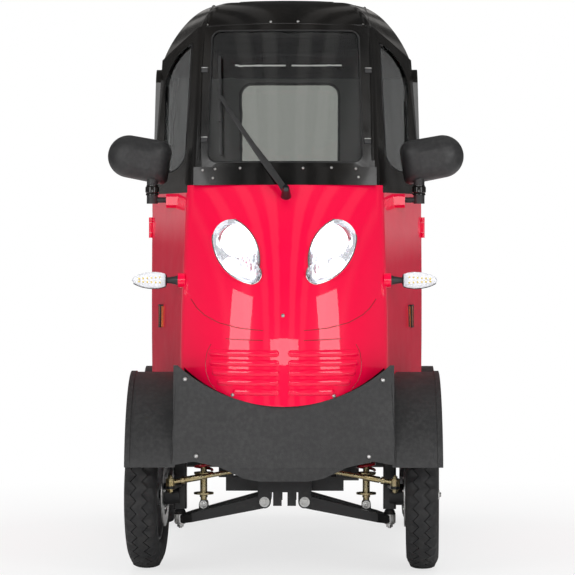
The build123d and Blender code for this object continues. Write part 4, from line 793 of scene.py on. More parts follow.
def make_springs():
    """Real helices with flat ends, in place of the ringed sleeves."""
    bm = bmesh.new()
    across_wire = Matrix.Translation((SPRING_RADIUS, 0, 0)) @ Matrix.Rotation(math.pi / 2, 4, "X")
    for x, y, low, high in SPRINGS:
        turns = round((high - low) / SPRING_PITCH)
        steps = turns * STEPS_A_TURN
        rise = (high - low - 2 * SPRING_WIRE) / steps  # at each step
        for sign in SIDES.values():
            before = set(bm.verts)
            wire = bmesh.ops.create_circle(
                bm, cap_ends=True, segments=10, radius=SPRING_WIRE, matrix=across_wire,
            )["verts"]
            bmesh.ops.spin(
                bm, geom=wire + edges_of(wire) + faces_of(wire), cent=(0, 0, 0), axis=UP, dvec=(0, 0, rise),
                angle=turns * math.tau, steps=steps, use_merge=False,
            )
            coil = [v for v in bm.verts if v not in before]
            bmesh.ops.recalc_face_normals(bm, faces=faces_of(coil))
            bmesh.ops.translate(bm, verts=coil, vec=(sign * x, y, low + SPRING_WIRE))
    piece = finished("coil_helices", bm, "spring_lacquer", crease=60)
    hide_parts("coil_springs")


def chained(edges):
    """Puts loose edges in order, as runs of places with whether each is closed; short scraps are left out."""
    meets = {}
    for edge in edges:
        for vertex in edge.verts:
            meets[vertex] = meets.get(vertex, 0) + 1
    waiting = dict.fromkeys(sorted(edges, key=lambda e: e.index))
    runs = []
    while waiting:
        loose = (e for e in waiting if any(meets[v] == 1 for v in e.verts))
        edge = next(loose, next(iter(waiting)))
        del waiting[edge]
        run = sorted(edge.verts, key=lambda v: meets[v])
        while True:
            onward = [e for e in sorted(run[-1].link_edges, key=lambda e: e.index) if e in waiting]
            if not onward:
                break
            del waiting[onward[0]]
            run.append(onward[0].other_vert(run[-1]))
        closed = run[0] is run[-1]
        places = [v.co.copy() for v in (run[:-1] if closed else run)]
        length = sum((b - a).length for a, b in zip(places, places[1:]))
        if len(places) > 3 and length > 0.05:
            runs.append((places, closed))
    return runs


def outer_rims(node, centre=(0.0, 0.1)):
    """The outer borders of a node's panes: where an outward face meets the pane's edge."""
    bm = bmesh.new()
    bm.from_mesh(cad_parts[node].data)
    bmesh.ops.remove_doubles(bm, verts=bm.verts, dist=1e-5)
    bm.edges.index_update()
    rims = []
    for edge in bm.edges:
        if len(edge.link_faces) != 2:
            continue
        middle = (edge.verts[0].co + edge.verts[1].co) / 2
        outward = Vector((middle.x - centre[0], (middle.y - centre[1]) * 0.7, 0)).normalized()
        first, second = (f.normal for f in edge.link_faces)
        if first.dot(second) < 0.5 and max(first.dot(outward), second.dot(outward)) > 0.55:
            rims.append(edge)
    runs = chained(rims)
    bm.free()
    return runs


# The bead round each pane and lamp: its body, radius in metres and finish.
BEADS = {
    "windshield": ("root", 0.0045, "soft_rubber"),
    "side_windows": ("root", 0.0045, "soft_rubber"),
    "rear_window": ("root", 0.009, "soft_rubber"),
    "door_glass_left": ("door_left", 0.004, "soft_rubber"),
    "door_glass_right": ("door_right", 0.004, "soft_rubber"),
    "headlamps": ("root", 0.0022, "reflector_chrome"),
    "tail_lamps": ("root", 0.0025, "soft_rubber"),
    "side_markers": ("root", 0.0025, "soft_rubber"),
}


def make_gaskets():
    """Rubber round every pane, and a bead round the lamps."""
    for node, (body, radius, finish) in BEADS.items():
        for number, (run, closed) in enumerate(outer_rims(node)):
            tube(f"seal_{node}_{number}", run, radius, finish, body, closed=closed)


# Headlamps: each bowl's centre across and up and its radius; how far the bucket and the bowls go back.
LAMP_BOWLS = [(0.128, 0.922, 0.046), (0.146, 0.852, 0.024)]
BUCKET_DEPTH = 0.055
BOWL_BEHIND_LENS = 0.016


def make_lamp_buckets():
    """A chromed bucket behind each headlamp's lens, drawn back from the lens's inner face."""
    bm = bmesh.new()
    bm.from_mesh(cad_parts["headlamps"].data)
    bmesh.ops.remove_doubles(bm, verts=bm.verts, dist=1e-5)
    bmesh.ops.delete(bm, geom=[f for f in bm.faces if f.normal.y <= 0.45], context="FACES")
    grown = bmesh.ops.extrude_edge_only(bm, edges=[e for e in bm.edges if e.is_boundary])["geom"]
    back = [g for g in grown if isinstance(g, bmesh.types.BMVert)]
    at_back = set(back)
    bmesh.ops.translate(bm, verts=back, vec=(0, BUCKET_DEPTH, 0))
    for sign in SIDES.values():
        near = [v for v in back if v.co.x * sign > 0]
        middle = sum((v.co for v in near), Vector()) / len(near)
        bmesh.ops.scale(bm, verts=near, vec=(0.86, 0.5, 0.86), space=Matrix.Translation(-middle))
    for sign in SIDES.values():
        open_edges = [e for e in bm.edges if e.is_boundary and all(v in at_back for v in e.verts)]
        bmesh.ops.contextual_create(bm, geom=[e for e in open_edges if e.verts[0].co.x * sign > 0])
    front = [f for f in bm.faces if all(v not in at_back for v in f.verts)]
    bmesh.ops.delete(bm, geom=front, context="FACES_ONLY")
    bmesh.ops.solidify(bm, geom=bm.faces[:], thickness=0.0015)
    bmesh.ops.recalc_face_normals(bm, faces=bm.faces)
    finished("lamp_buckets", bm, "reflector_chrome")


def make_lamp_bowls():
    """A main bowl and a small lower bowl in each headlamp, with their bulbs; the bowls carry a painted glow."""
    bulbs, bowls = bmesh.new(), bmesh.new()
    for sign in SIDES.values():
        for x, z, radius in LAMP_BOWLS:
            depth = radius * 0.75
            lens, _ = dropped_on("headlamps", (sign * x, -2.0, z + radius * 0.7), (0, 1, 0))
            place = Matrix.Translation((sign * x, lens.y + BOWL_BEHIND_LENS + depth, z))
            aim = place @ Matrix.Rotation(math.pi / 2, 4, "X")
            inside = [(radius * s, depth * s * s) for s in (1.0, 0.85, 0.7, 0.55, 0.4, 0.25, 0.12, 0.0)]
            outside = [(r + 0.001, h - 0.0015) for r, h in inside[:-1]] + [(0.0, -0.0015)]
            add_turned(bowls, list(reversed(outside)) + inside, aim, 40, 1)
            bulb = ((0, 0.78), (0.16, 0.72), (0.22, 0.5), (0.2, 0.2), (0, 0.06))
            add_turned(bulbs, [(radius * r, depth * h) for r, h in bulb], aim, 20, 1)
    finished("lamp_bowls", bowls, "lamp_bowl_painted_glow")
    finished("lamp_bulbs", bulbs, "lamp_glow")


# Indicators: the root of the lens, its length and radius, and its outline as parts of them from root to tip.
INDICATOR_X, INDICATOR_Y, INDICATOR_Z = 0.330, -0.64, 0.813
INDICATOR_LENGTH = 0.095
INDICATOR_RADIUS = 0.024
INDICATOR_OUTLINE = [(0, 0), (0.72, 0), (0.9, 0.12), (1, 0.32), (0.92, 0.58), (0.7, 0.8), (0.36, 0.95), (0, 1)]
INDICATOR_CUP = [(0, -4), (8.5, -4), (16.8, -1.2), (18.24, 0.8), (16.8, 1.2), (0, 1.2)]
INDICATOR_STALK = [(0, -34), (14, -34), (11.8, -27), (8.8, -12), (8, -2), (0, -2)]


def make_indicators():
    """Replaces the plain lamps: a faceted clear lens, its black cup and stalk, rows of yellow chips, and a white
    board with a painted glow behind them.
    """
    lenses, cups, chips, boards = (bmesh.new() for _ in range(4))
    outline = [(INDICATOR_RADIUS * r, INDICATOR_LENGTH * h) for r, h in INDICATOR_OUTLINE]
    for side, sign in SIDES.items():
        root = Vector((sign * INDICATOR_X, INDICATOR_Y, INDICATOR_Z))
        out = Matrix.Translation(root) @ Matrix.Rotation(sign * math.pi / 2, 4, "Y")
        flat = out @ Matrix.Diagonal((0.98, 0.74, 1, 1))
        add_turned(lenses, outline, flat, 14, 1)
        add_turned(cups, INDICATOR_CUP, flat, 24)
        add_turned(cups, INDICATOR_STALK, out, 20)
        lip = [root + Vector((sign * h, 0, -0.98 * r)) for r, h in outline[1:-1]]
        tube(f"indicator_lip_{side}", lip, 0.0019, "grained_plastic", smooth=True)
        for column in range(6):
            for drop in (-0.006, 0.0075):
                along = sign * INDICATOR_LENGTH * (0.18 + 0.12 * column)
                spot = root + Vector((along, 0.002, drop * (1 - 0.1 * column)))
                bmesh.ops.create_uvsphere(
                    chips, u_segments=10, v_segments=6, radius=0.0024, matrix=Matrix.Translation(spot)
                )
        # A white board behind each lens, which carries a painted glow.
        back = Matrix.Translation((0, 0.006, 0)) @ out @ Matrix.Diagonal((0.92, 0.2, 0.97, 1))
        add_turned(boards, outline, back, 28, 1)
    lens = finished("indicator_lenses", lenses, "clear_lens", crease=12)
    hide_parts("indicator_lamps")
    finished("indicator_cups", cups, "grained_plastic")
    finished("indicator_chips", chips, "led_chip")
    finished("indicator_boards", boards, "indicator_white_painted_glow")


# Screws and their places in the photograph: node, head radius in metres, pixels.
SCREWS = [
    ("front_mudguard", 0.0062, [(185, 379), (196, 456), (383, 380), (369, 456.5)]),
    ("nose_panel", 0.0055, [(232.5, 395), (334, 396), (283, 315.5)]),
    ("cowl", 0.0042, [
        (240, 168), (303, 168), (331.5, 167.5), (356, 168.5), (215, 169), (202.6, 170), (358.6, 177),
        (212.8, 178),
    ]),
    ("roof_panel", 0.0045, [(270.7, 21.8), (298, 21.5), (363, 25), (207, 25)]),
]


def make_screws():
    """Small fasteners that show from the front, each seated on the panel that it holds."""
    for node, radius, pixels in SCREWS:
        bm = bmesh.new()
        for pixel in pixels:
            place, normal = first_seen((node, "cowl", "cabin_frame", "nose_panel"), *pixel)
            if place is not None:
                add_screw(bm, place, normal, radius)
        finished(f"screws_{node}", bm, "bright_steel")


# Wiper: pixels of its arm from the pivot to the blade and of the blade, and the arm's stand-off and width.
WIPER_ARM = [(285.5, 191), (281, 184), (268, 166), (252, 144), (237, 122), (221, 97)]
WIPER_BLADE = [(220.5, 57), (221.0, 90), (221.5, 122), (222, 156)]
WIPER_FOOT = (286, 196)
WIPER_STAND = [0.030, 0.030, 0.028, 0.026, 0.026, 0.026]
WIPER_WIDTHS = [0.020, 0.017, 0.020, 0.0145, 0.0125, 0.0105]
WIPER_CAP = [(0, 40), (6, 40), (8.5, 36), (11, 26), (13, 10), (15, 2), (15, -4), (0, -4)]


def lying(hits, height, width, thickness):
    """Stations of a bar that lies at a height over places on the glass."""
    return [(place + normal * height, ACROSS, normal, width, thickness) for place, normal in hits]


def make_wiper():
    """A cranked arm with its cap and nut, a bridge and a rubber blade lying on the glass."""
    bm, rubber, metal, caps = (bmesh.new() for _ in range(4))
    places = []
    for pixel, stand in zip(WIPER_ARM, WIPER_STAND):
        place, _ = first_seen(("windshield", "cabin_frame", "cowl", "nose_panel"), *pixel)
        places.append(place + (EYE - place).normalized() * stand)
    outward = Vector((0, -1, 0.25)).normalized()
    stations = []
    for i, (place, width) in enumerate(zip(places, WIPER_WIDTHS)):
        along = (places[min(i + 1, len(places) - 1)] - places[max(i - 1, 0)]).normalized()
        stations.append((place, along.cross(outward), outward, width, 0.0075))
    add_bar(bm, stations)
    glass = [seen_on("windshield", *pixel) for pixel in WIPER_BLADE]
    add_bar(bm, lying(glass, 0.010, 0.007, 0.006))
    add_bar(rubber, lying(glass, 0.0045, 0.0032, 0.007))
    add_bar(bm, lying(glass[1:3], 0.017, 0.0075, 0.006))
    for place, normal in glass[1:3]:
        low, high = place + normal * 0.0075, place + normal * 0.019
        add_bar(bm, [(low, ACROSS, UP, 0.0085, 0.010), (high, ACROSS, UP, 0.007, 0.008)])
    bridge = glass[1][0].lerp(glass[2][0], 0.5) + glass[1][1] * 0.016
    add_bar(bm, [(place, ACROSS, UP, 0.006, 0.012) for place in (places[-1], bridge)])
    foot, lean = first_seen(("cowl", "nose_panel"), *WIPER_FOOT)
    add_turned(caps, WIPER_CAP, facing(foot, lean), 24)
    add_bolt(metal, places[0] + Vector((0, -0.004, 0.004)), (0, -1, 0.4), 0.006)
    finished("wiper_cap", caps, "display_black")
    arm = finished("wiper_arm", bm, "grained_plastic")
    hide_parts("wiper")
    finished("wiper_rubber", rubber, "soft_rubber")
    finished("wiper_nut", metal, "bright_steel")


# Bolts and joints of the front suspension, in metres.
ARM_PIVOTS = [(0.056, -0.6375, 0.195), (0.100, -0.6375, 0.352)]
DAMPER_X, DAMPER_EYE_Y, DAMPER_EYE_LEVELS = 0.229, -0.5707, (0.181, 0.470)
BALL_LEVELS = (0.140, 0.352)
KNUCKLE_EYE = (0.018, -0.095, 0.240)
BALL_BOOT = [
    (16.5, 0), (17, 2), (15.5, 4), (16.2, 6.2), (13.8, 8.5), (14.2, 10.5), (11.5, 13.5), (10, 15.5), (8.2, 15.5),
    (8.2, 0), (16.5, 0),
]


def turned_about_pin(sign, x, y):
    """A point given from the kingpin, with the front wheels' rest angle."""
    spot = Matrix.Rotation(REST_STEER, 4, "Z") @ Vector((sign * x, y, 0))
    return sign * KINGPIN_X + spot.x, FRONT_AXLE_Y + spot.y


def make_suspension_fittings():
    """Pivot bolts, damper bolts, ball joint boots and castle nuts."""
    bolts, boots = bmesh.new(), bmesh.new()
    for side, sign in SIDES.items():
        for x, y, z in ARM_PIVOTS:
            add_bolt(bolts, (sign * x, y, z), AHEAD, 0.0105)
        for z in DAMPER_EYE_LEVELS:
            add_bolt(bolts, (sign * DAMPER_X, DAMPER_EYE_Y, z), AHEAD, 0.0085)
        for level, up in zip(BALL_LEVELS, (1, -1)):
            pin = Matrix.Translation((sign * KINGPIN_X, FRONT_AXLE_Y, level + up * 0.0122))
            turn = Matrix.Rotation(0 if up > 0 else math.pi, 4, "X")
            add_turned(boots, BALL_BOOT, pin @ turn, 28)
            add_bolt(bolts, (sign * KINGPIN_X, FRONT_AXLE_Y, level - up * 0.0135), (0, 0, -up), 0.0105)
        nuts = bmesh.new()
        x, y = turned_about_pin(sign, *KNUCKLE_EYE[:2])
        add_bolt(nuts, (x, y, KNUCKLE_EYE[2] + 0.0206), UP, 0.0075)
        add_bolt(nuts, (x, y, KNUCKLE_EYE[2] - 0.0082), (0, 0, -1), 0.0085)
        finished(f"steering_arm_nuts_{side}", nuts, "yellow_zinc", f"knuckle_{side}")
    finished("suspension_bolts", bolts, "bright_steel")
    finished("joint_boots", boots, "soft_rubber")


# Front brakes, in millimetres; the disc's place is given inwards from the wheel.
DISC_INWARD = 0.0495
DISC_RIM = [(58, -2), (90, -2), (90.5, -1.5), (90.5, 1.5), (90, 2), (58, 2), (58, -2)]
DISC_BELL = [(34, 4.5), (56, 4.5), (58.5, 2), (58.5, -2), (54.5, 2.5), (34, 2.5), (34, 4.5)]
DISC_BOLTS = 5
CALIPER_SIZE = (0.013, 0.036, 0.058)


def make_brakes():
    """A steel disc bolted to each front wheel, and its caliper on the knuckle."""
    for side, sign in SIDES.items():
        place = wheel_place("front", sign) @ Matrix.Translation((-sign * DISC_INWARD, 0, 0))
        disc, caliper = bmesh.new(), bmesh.new()
        add_turned(disc, DISC_RIM, place @ Matrix.Rotation(math.pi / 2, 4, "Y"), 64)
        add_turned(disc, DISC_BELL, place @ Matrix.Rotation(sign * math.pi / 2, 4, "Y"), 48)
        for hole in range(DISC_BOLTS):
            turn = Matrix.Rotation(hole * math.tau / DISC_BOLTS, 4, "X")
            spot = place @ turn @ Vector((-sign * 0.001, 0, 0.046))
            add_bolt(disc, spot, place.to_3x3() @ Vector((-sign, 0, 0)), 0.0045)
        finished(f"brake_disc_{side}", disc, "bright_steel", f"wheel_front_{side}")
        seat = place @ Matrix.Translation((0, 0.060, 0.052)) @ Matrix.Rotation(math.radians(-49), 4, "X")
        add_block(caliper, seat @ Matrix.Translation((-sign * 0.011, 0, 0)), CALIPER_SIZE, 0.004)
        finished(f"brake_caliper_{side}", caliper, "cast_alloy", f"knuckle_{side}")


def applied(piece):
    """Bakes a piece's modifiers into its mesh."""
    bpy.context.view_layer.update()
    graph = bpy.context.evaluated_depsgraph_get()
    mesh = bpy.data.meshes.new_from_object(piece.evaluated_get(graph))
    piece.modifiers.clear()
    piece.data = mesh


def stuffed(piece, cap, low, high):
    """Swells a soft block under pressure, with how far any point moves capped, and inside its box."""
    remesh = piece.modifiers.new("even", "REMESH")
    remesh.mode = "VOXEL"
    remesh.voxel_size = 0.007
    applied(piece)
    before = [v.co.copy() for v in piece.data.vertices]
    cloth = piece.modifiers.new("swell", "CLOTH")
    cloth.settings.use_pressure = True
    cloth.settings.uniform_pressure_force = 4.0
    cloth.settings.effector_weights.gravity = 0.0
    for number in range(1, 15):
        bpy.context.scene.frame_set(number)
    applied(piece)
    bpy.context.scene.frame_set(1)
    for vertex, start in zip(piece.data.vertices, before):
        moved = vertex.co - start
        if moved.length > cap:
            vertex.co = start + moved.normalized() * cap
        for axis in range(3):
            vertex.co[axis] = min(max(vertex.co[axis], low[axis]), high[axis])
    finer = piece.modifiers.new("finer", "SUBSURF")
    finer.levels = finer.render_levels = 1
    applied(piece)
    piece.data.shade_smooth()


# Sewn channels of the seat: where they lie across the car, their half width and depth.
SEAMS = (-0.12, 0.0, 0.12)
SEAM_REACH = 0.012
SEAM_DEPTH = 0.006
PAD_INSET = 0.012
PAD_EDGE = 0.028
PAD_SWELL = 0.011
# How near a channel stays to the face that it is sewn in.
FACE_DEPTH = 0.03


def make_seat():
    """Swelled seat and backrest with sewn channels."""
    for node, name in (("seat_cushion", "seat_pad"), ("seat_back", "back_pad")):
        low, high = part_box(node)
        inset = Vector((PAD_INSET, PAD_INSET, PAD_INSET))
        size = high - low - 2 * inset
        bm = bmesh.new()
        bmesh.ops.create_cube(
            bm, size=1.0, matrix=Matrix.Translation((low + high) / 2) @ Matrix.Diagonal((*size, 1))
        )
        soften(bm, bm.edges[:], PAD_EDGE, 4)
        pad = placed(name, mesh_of(name, bm))
        pad.data.materials.append(FINISHES["leatherette"])
        stuffed(pad, PAD_SWELL, low, high)
        for vertex in pad.data.vertices:
            place = vertex.co
            for seam in SEAMS:
                near = abs(place.x - seam) / SEAM_REACH
                dip = SEAM_DEPTH * (1 - near) ** 2
                if near < 1 and node == "seat_cushion" and place.z > high.z - FACE_DEPTH:
                    place.z -= dip
                if near < 1 and node == "seat_back" and place.y < low.y + FACE_DEPTH:
                    place.y += dip
        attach(pad, "root")
        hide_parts(node)


# Pixels of the photograph. Roof trim: each ridge from the screen's foot to its crest, and the bead above.
RIDGES = {
    "right": [(199, 160), (200.1, 109), (201, 63), (203.8, 31.5), (207.5, 18), (212.2, 9)],
    "left": [(373, 160), (372.2, 109), (371.3, 63), (369.4, 31.5), (367.5, 18), (364.8, 9)],
}
RIDGE_END_Y = 0.70
RIDGE_STEPS = 11
ROOF_LIP = [(206, 26.5), (219.5, 25.3), (250, 23.8), (284, 23), (318, 23.8), (350, 25), (365.6, 25.3), (371, 27)]
ROOF_SHELL = ("roof_panel", "cabin_frame", "cowl")
SCREEN_CLIPS = [(205, 70.5), (368, 71), (204.5, 140), (367.5, 141.5)]
# Creases pressed in the nose, from its edge towards the middle, and mirrored about the middle; a dark bead along
# each is painted shade.
NOSE_MIDDLE = 283.5
NOSE_CREASES = {
    "upper": [(191, 299), (197, 308), (204.5, 315), (218, 322.5), (238.5, 328), (255.4, 330), (263, 330.6)],
    "lower": [(226, 338.8), (240, 339.6), (252, 340.2), (263, 340.5)],
}
# The grille's edge, along which a dark bead is painted shade.
GRILLE_EDGES = [(211, 344), (207, 352), (205.5, 362), (206, 372), (209.5, 382), (216, 390)]
GUARD_SEAMS = {
    "right": [(175.4, 384), (173.6, 420), (170.9, 464)],
    "left": [(391.6, 384), (393.4, 420), (396.1, 464)],
}


def make_roof_trim():
    """Raised ridges from the screen's foot over the roof, a bead over the screen, and the screen's clips, each
    with a bright steel strip on its top edge as a painted highlight.
    """
    for side, pixels in RIDGES.items():
        hits = [first_seen(ROOF_SHELL, *pixel) for pixel in pixels]
        points = [place + normal * 0.001 for place, normal in hits if place is not None]
        crest = points[-1]
        for step in range(1, RIDGE_STEPS + 1):
            y = crest.y + (RIDGE_END_Y - crest.y) * step / RIDGE_STEPS
            place, normal = dropped_on("roof_panel", (crest.x, y, 2.5), (0, 0, -1))
            if place is not None:
                points.append(place + normal * 0.001)
        tube(f"roof_ridge_{side}", points, 0.0042, "roof_gloss", smooth=True)
    hits = [first_seen(ROOF_SHELL, *pixel) for pixel in ROOF_LIP]
    lip = [place + normal * 0.0005 for place, normal in hits if place is not None]
    tube("roof_lip", lip, 0.0026, "roof_gloss", smooth=True)
    clips, springs = bmesh.new(), bmesh.new()
    for pixel in SCREEN_CLIPS:
        spot = facing(*first_seen(("windshield", "cabin_frame"), *pixel))
        add_block(clips, spot, (0.020, 0.013, 0.010), 0.002)
        # The bright steel strip on each clip's top edge is a painted highlight.
        add_block(springs, spot @ Matrix.Translation((0, 0.0075, 0.003)), (0.019, 0.0022, 0.005), 0.0006)
    finished("screen_clips", clips, "interior_plastic")
    finished("screen_clip_painted_highlights", springs, "bright_steel")


def on_nose(pixels, sign, sunk=0.0002):
    """Points on the nose along a line of pixels, closely spaced, or along its mirror image."""
    points = []
    for (x0, y0), (x1, y1) in zip(pixels, pixels[1:]):
        for share in (0.0, 0.25, 0.5, 0.75, 1.0):
            across, down = x0 + (x1 - x0) * share, y0 + (y1 - y0) * share
            if sign > 0:
                across = 2 * NOSE_MIDDLE - across
            place, normal = seen_on("nose_panel", across, down)
            if place is not None and (not points or (place - points[-1]).length > 0.001):
                points.append(place - normal * sunk)
    return points


def make_painted_crease_shades_and_seams():
    """Dark beads along the nose's creases and the grille's edge, which are painted shade, and the seams between
    the front guard's middle and its wings.
    """
    for side, sign in SIDES.items():
        # Dark red beads along the creases and the grille's edge are painted shade.
        for level, crease in NOSE_CREASES.items():
            points = on_nose(crease, sign)
            tube(f"nose_crease_{level}_{side}", points, 0.0013, "spring_lacquer", smooth=True)
        tube(f"grille_edge_painted_shade_{side}", on_nose(GRILLE_EDGES, sign), 0.0011, "spring_lacquer", smooth=True)
    for side, pixels in GUARD_SEAMS.items():
        hits = [seen_on("front_mudguard", *pixel)[0] for pixel in pixels]
        points = [place for place in hits if place is not None]
        tube(f"guard_seam_{side}", points, 0.0012, "soft_rubber", smooth=True)


# Wheels, from a wheel's own middle: how far out each fitting sits, and at what radius.
AXLE_NUT_OUT = 0.0345
WHEEL_BOLTS, BOLT_OUT, BOLT_CIRCLE = 6, 0.0218, 0.0465
VALVE_OUT, VALVE_LEVEL = 0.012, 0.1225
VALVE_BOOT = [(0, -1), (7.8, -1), (7.4, 4), (5.2, 9), (4.6, 21), (0, 21)]
VALVE_CAP = [(0, 20.5), (4.2, 20.5), (4.4, 30), (3.6, 32.5), (0, 32.5)]
RIM_OUT, RIM_RADIUS, RIM_STEPS = 0.0336, 0.1262, 48


def make_wheel_hardware():
    """Axle nuts on washers, disc bolts, a bead on each rim's edge and a valve, on all four wheels."""
    for wheel, sign, place in wheels():
        body = f"wheel_{wheel}"
        outward = place.to_3x3() @ Vector((sign, 0, 0))
        metal, rubber = bmesh.new(), bmesh.new()
        add_bolt(metal, place @ Vector((sign * AXLE_NUT_OUT, 0, 0)), outward, 0.0135)
        for hole in range(WHEEL_BOLTS):
            turn = math.tau * (hole / WHEEL_BOLTS + 1 / 12)
            spot = Vector((sign * BOLT_OUT, BOLT_CIRCLE * math.cos(turn), BOLT_CIRCLE * math.sin(turn)))
            add_bolt(metal, place @ spot, outward, 0.0062)
        lean = place.to_3x3() @ Vector((sign * 0.55, 0, -1))
        stem = facing(place @ Vector((sign * VALVE_OUT, 0, VALVE_LEVEL)), lean)
        add_turned(rubber, VALVE_BOOT, stem, 16)
        add_turned(rubber, VALVE_CAP, stem, 12)
        finished(f"wheel_bolts_{wheel}", metal, "bright_steel", body)
        finished(f"valve_{wheel}", rubber, "soft_rubber", body)
        for edge, face in (("inner", -1), ("outer", 1)):
            turns = [math.tau * step / RIM_STEPS for step in range(RIM_STEPS)]
            rim = [
                place @ Vector((sign * face * RIM_OUT, RIM_RADIUS * math.cos(t), RIM_RADIUS * math.sin(t)))
                for t in turns
            ]
            tube(f"rim_bead_{wheel}_{edge}", rim, 0.0022, "cast_alloy", body, closed=True)


# Nuts and sleeves of a tie rod: start and end as shares of its length, and radius.
ROD_NUTS = [(0.10, 0.135, 0.0108), (0.145, 0.30, 0.0092), (0.80, 0.835, 0.0108), (0.845, 0.89, 0.0092)]
ROD_INNER_Z = 0.3026
DAMPER_FOOT = [
    (0, 200), (11.2, 200), (11.2, 205), (10.2, 206), (10.2, 258), (24.5, 262.5), (27.5, 266), (27.5, 270.5),
    (0, 270.5),
]


def make_rod_hardware():
    """Lock nuts and a turning sleeve on each tie rod, and the damper's threaded foot below its spring."""
    feet = bmesh.new()
    for side, sign in SIDES.items():
        bm = bmesh.new()
        outer = Vector((*turned_about_pin(sign, *KNUCKLE_EYE[:2]), KNUCKLE_EYE[2] + 0.0103))
        inner = Vector((outer.x - sign * KINGPIN_X, outer.y, ROD_INNER_Z))
        for start, stop, radius in ROD_NUTS:
            add_prism(bm, outer.lerp(inner, start), outer.lerp(inner, stop), radius)
        finished(f"tie_rod_nuts_{side}", bm, "yellow_zinc", f"tie_rod_{side}")
        add_turned(feet, DAMPER_FOOT, Matrix.Translation((sign * DAMPER_X, FRONT_AXLE_Y, 0)), 32)
    finished("damper_feet", feet, "yellow_zinc")


# Handlebar: the column's foot and head, the bar's bend and tip from its middle, and the lever, in metres.
COLUMN_FOOT = Vector((0, -0.55, 0.425))
COLUMN_HEAD = Vector((0, -0.215, 0.965))
BAR_BEND, BAR_TIP = (0.12375, 0.024, 0.035), (0.225, 0.06, 0.035)
LEVER_START = 0.004
LEVER = [
    (0, -0.010, 0), (0.008, -0.036, 0), (0.035, -0.046, -0.002), (0.075, -0.043, -0.004), (0.108, -0.038, -0.006),
]
LEVER_CLAMP = [(10.5, -11), (16.5, -11), (16.5, 11), (10.5, 11), (10.5, -11)]


def on_bar(x, y, z):
    """A place given from the column's head, turned as the handlebar stands at rest."""
    turn = Matrix.Rotation(REST_STEER, 4, COLUMN_HEAD - COLUMN_FOOT)
    return COLUMN_FOOT + turn @ (COLUMN_HEAD + Vector((x, y, z)) - COLUMN_FOOT)


def make_handlebar_controls():
    """Brake levers with their clamps, a switch pod by each grip, and a blank display."""
    clamps, screens = bmesh.new(), bmesh.new()
    for side, sign in SIDES.items():
        bend, tip = (on_bar(sign * x, y, z) for x, y, z in (BAR_BEND, BAR_TIP))
        along = tip - bend
        clamp = facing(bend - along * 0.04, along)
        add_turned(clamps, LEVER_CLAMP, clamp, 24)
        pod = Matrix.Translation(bend - along * 0.30) @ clamp.to_3x3().to_4x4()
        add_block(clamps, pod, (0.036, 0.036, 0.028), 0.006)
        bar_x, bar_y, bar_z = BAR_BEND
        points = [
            on_bar(sign * (bar_x - LEVER_START + x), bar_y + y + x * 0.3, bar_z + z) for x, y, z in LEVER
        ]
        tube(f"brake_lever_{side}", points, 0.0042, "bright_steel", "handlebar", smooth=True)
        bmesh.ops.create_uvsphere(
            clamps, u_segments=14, v_segments=10, radius=0.0066, matrix=Matrix.Translation(points[-1])
        )
    top = facing(on_bar(0, 0.004, 0.0365), on_bar(0, 0, 1) - on_bar(0, 0, 0))
    add_block(screens, top, (0.108, 0.054, 0.005), 0.002)
    add_block(clamps, top @ Matrix.Translation((0, 0, -0.002)), (0.118, 0.062, 0.004), 0.0015)
    finished("handlebar_clamps", clamps, "interior_plastic", "handlebar")
    finished("display", screens, "display_black", "handlebar")


# The middles of the two strip lights in the photograph, and the floor mat's ribs.
STRIP_LIGHTS = [(260.2, 65.7), (317.2, 65.7)]
MAT_MIDDLE = Vector((0, -0.06, 0.3125))
MAT_RIBS = 15
RIB_SPACING = 0.034


def make_cabin_details():
    """Strip lights over the rear window and a ribbed floor mat."""
    strips, mat = bmesh.new(), bmesh.new()
    for pixel in STRIP_LIGHTS:
        place, normal = first_seen(("cabin_frame", "roof_panel"), *pixel)
        add_block(strips, facing(place, normal), (0.168, 0.0045, 0.006), 0.0012)
    finished("strip_lights", strips, "strip_light")
    add_block(mat, Matrix.Translation(MAT_MIDDLE), (0.56, 0.30, 0.004), 0.0015)
    for rib in range(MAT_RIBS):
        x = RIB_SPACING * (rib - (MAT_RIBS - 1) / 2)
        add_block(mat, Matrix.Translation(MAT_MIDDLE + Vector((x, 0, 0.003))), (0.012, 0.26, 0.004), 0.0012)
    finished("floor_mat", mat, "soft_rubber")


# The cabin's side wall leans in: how far out it stands at a level, and its lean.
WALL_X, WALL_LEVEL, WALL_LEAN = 0.3971, 1.07, 0.075


def make_door_seals():
    """A rubber strip under the cabin's header that closes the gap over each door."""
    for side, sign in SIDES.items():
        low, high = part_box(f"door_frame_{side}")
        x = sign * (WALL_X - WALL_LEAN * (high.z - WALL_LEVEL) - 0.009)
        stations = []
        for share in (0.006, 0.03, 0.2, 0.4, 0.6, 0.8, 0.97, 0.994):
            y = low.y + (high.y - low.y) * share
            top, _ = dropped_on("cabin_frame", (x, y, high.z - 0.001), UP)
            foot, _ = dropped_on(f"door_frame_{side}", (x, y, high.z + 0.02), (0, 0, -1))
            if top is not None and foot is not None:
                middle = (top + foot) / 2 + Vector((0, 0, 0.0004))
                stations.append((middle, ACROSS, UP, 0.010, top.z - foot.z - 0.0006))
        bm = bmesh.new()
        add_bar(bm, stations)
        finished(f"door_seal_{side}", bm, "soft_rubber")


LOCK_FACE = [(0, -1), (13.5, -1), (13.5, 2), (11.5, 3.5), (6, 3.5), (5.5, 2.5), (0, 2.5)]
PULL_FOOT = [(0, -2), (13.5, -2), (13.5, 2), (9.5, 5), (0, 5)]
PULL_X, PULL_Z, PULL_REACH = 0.062, 0.655, 0.015
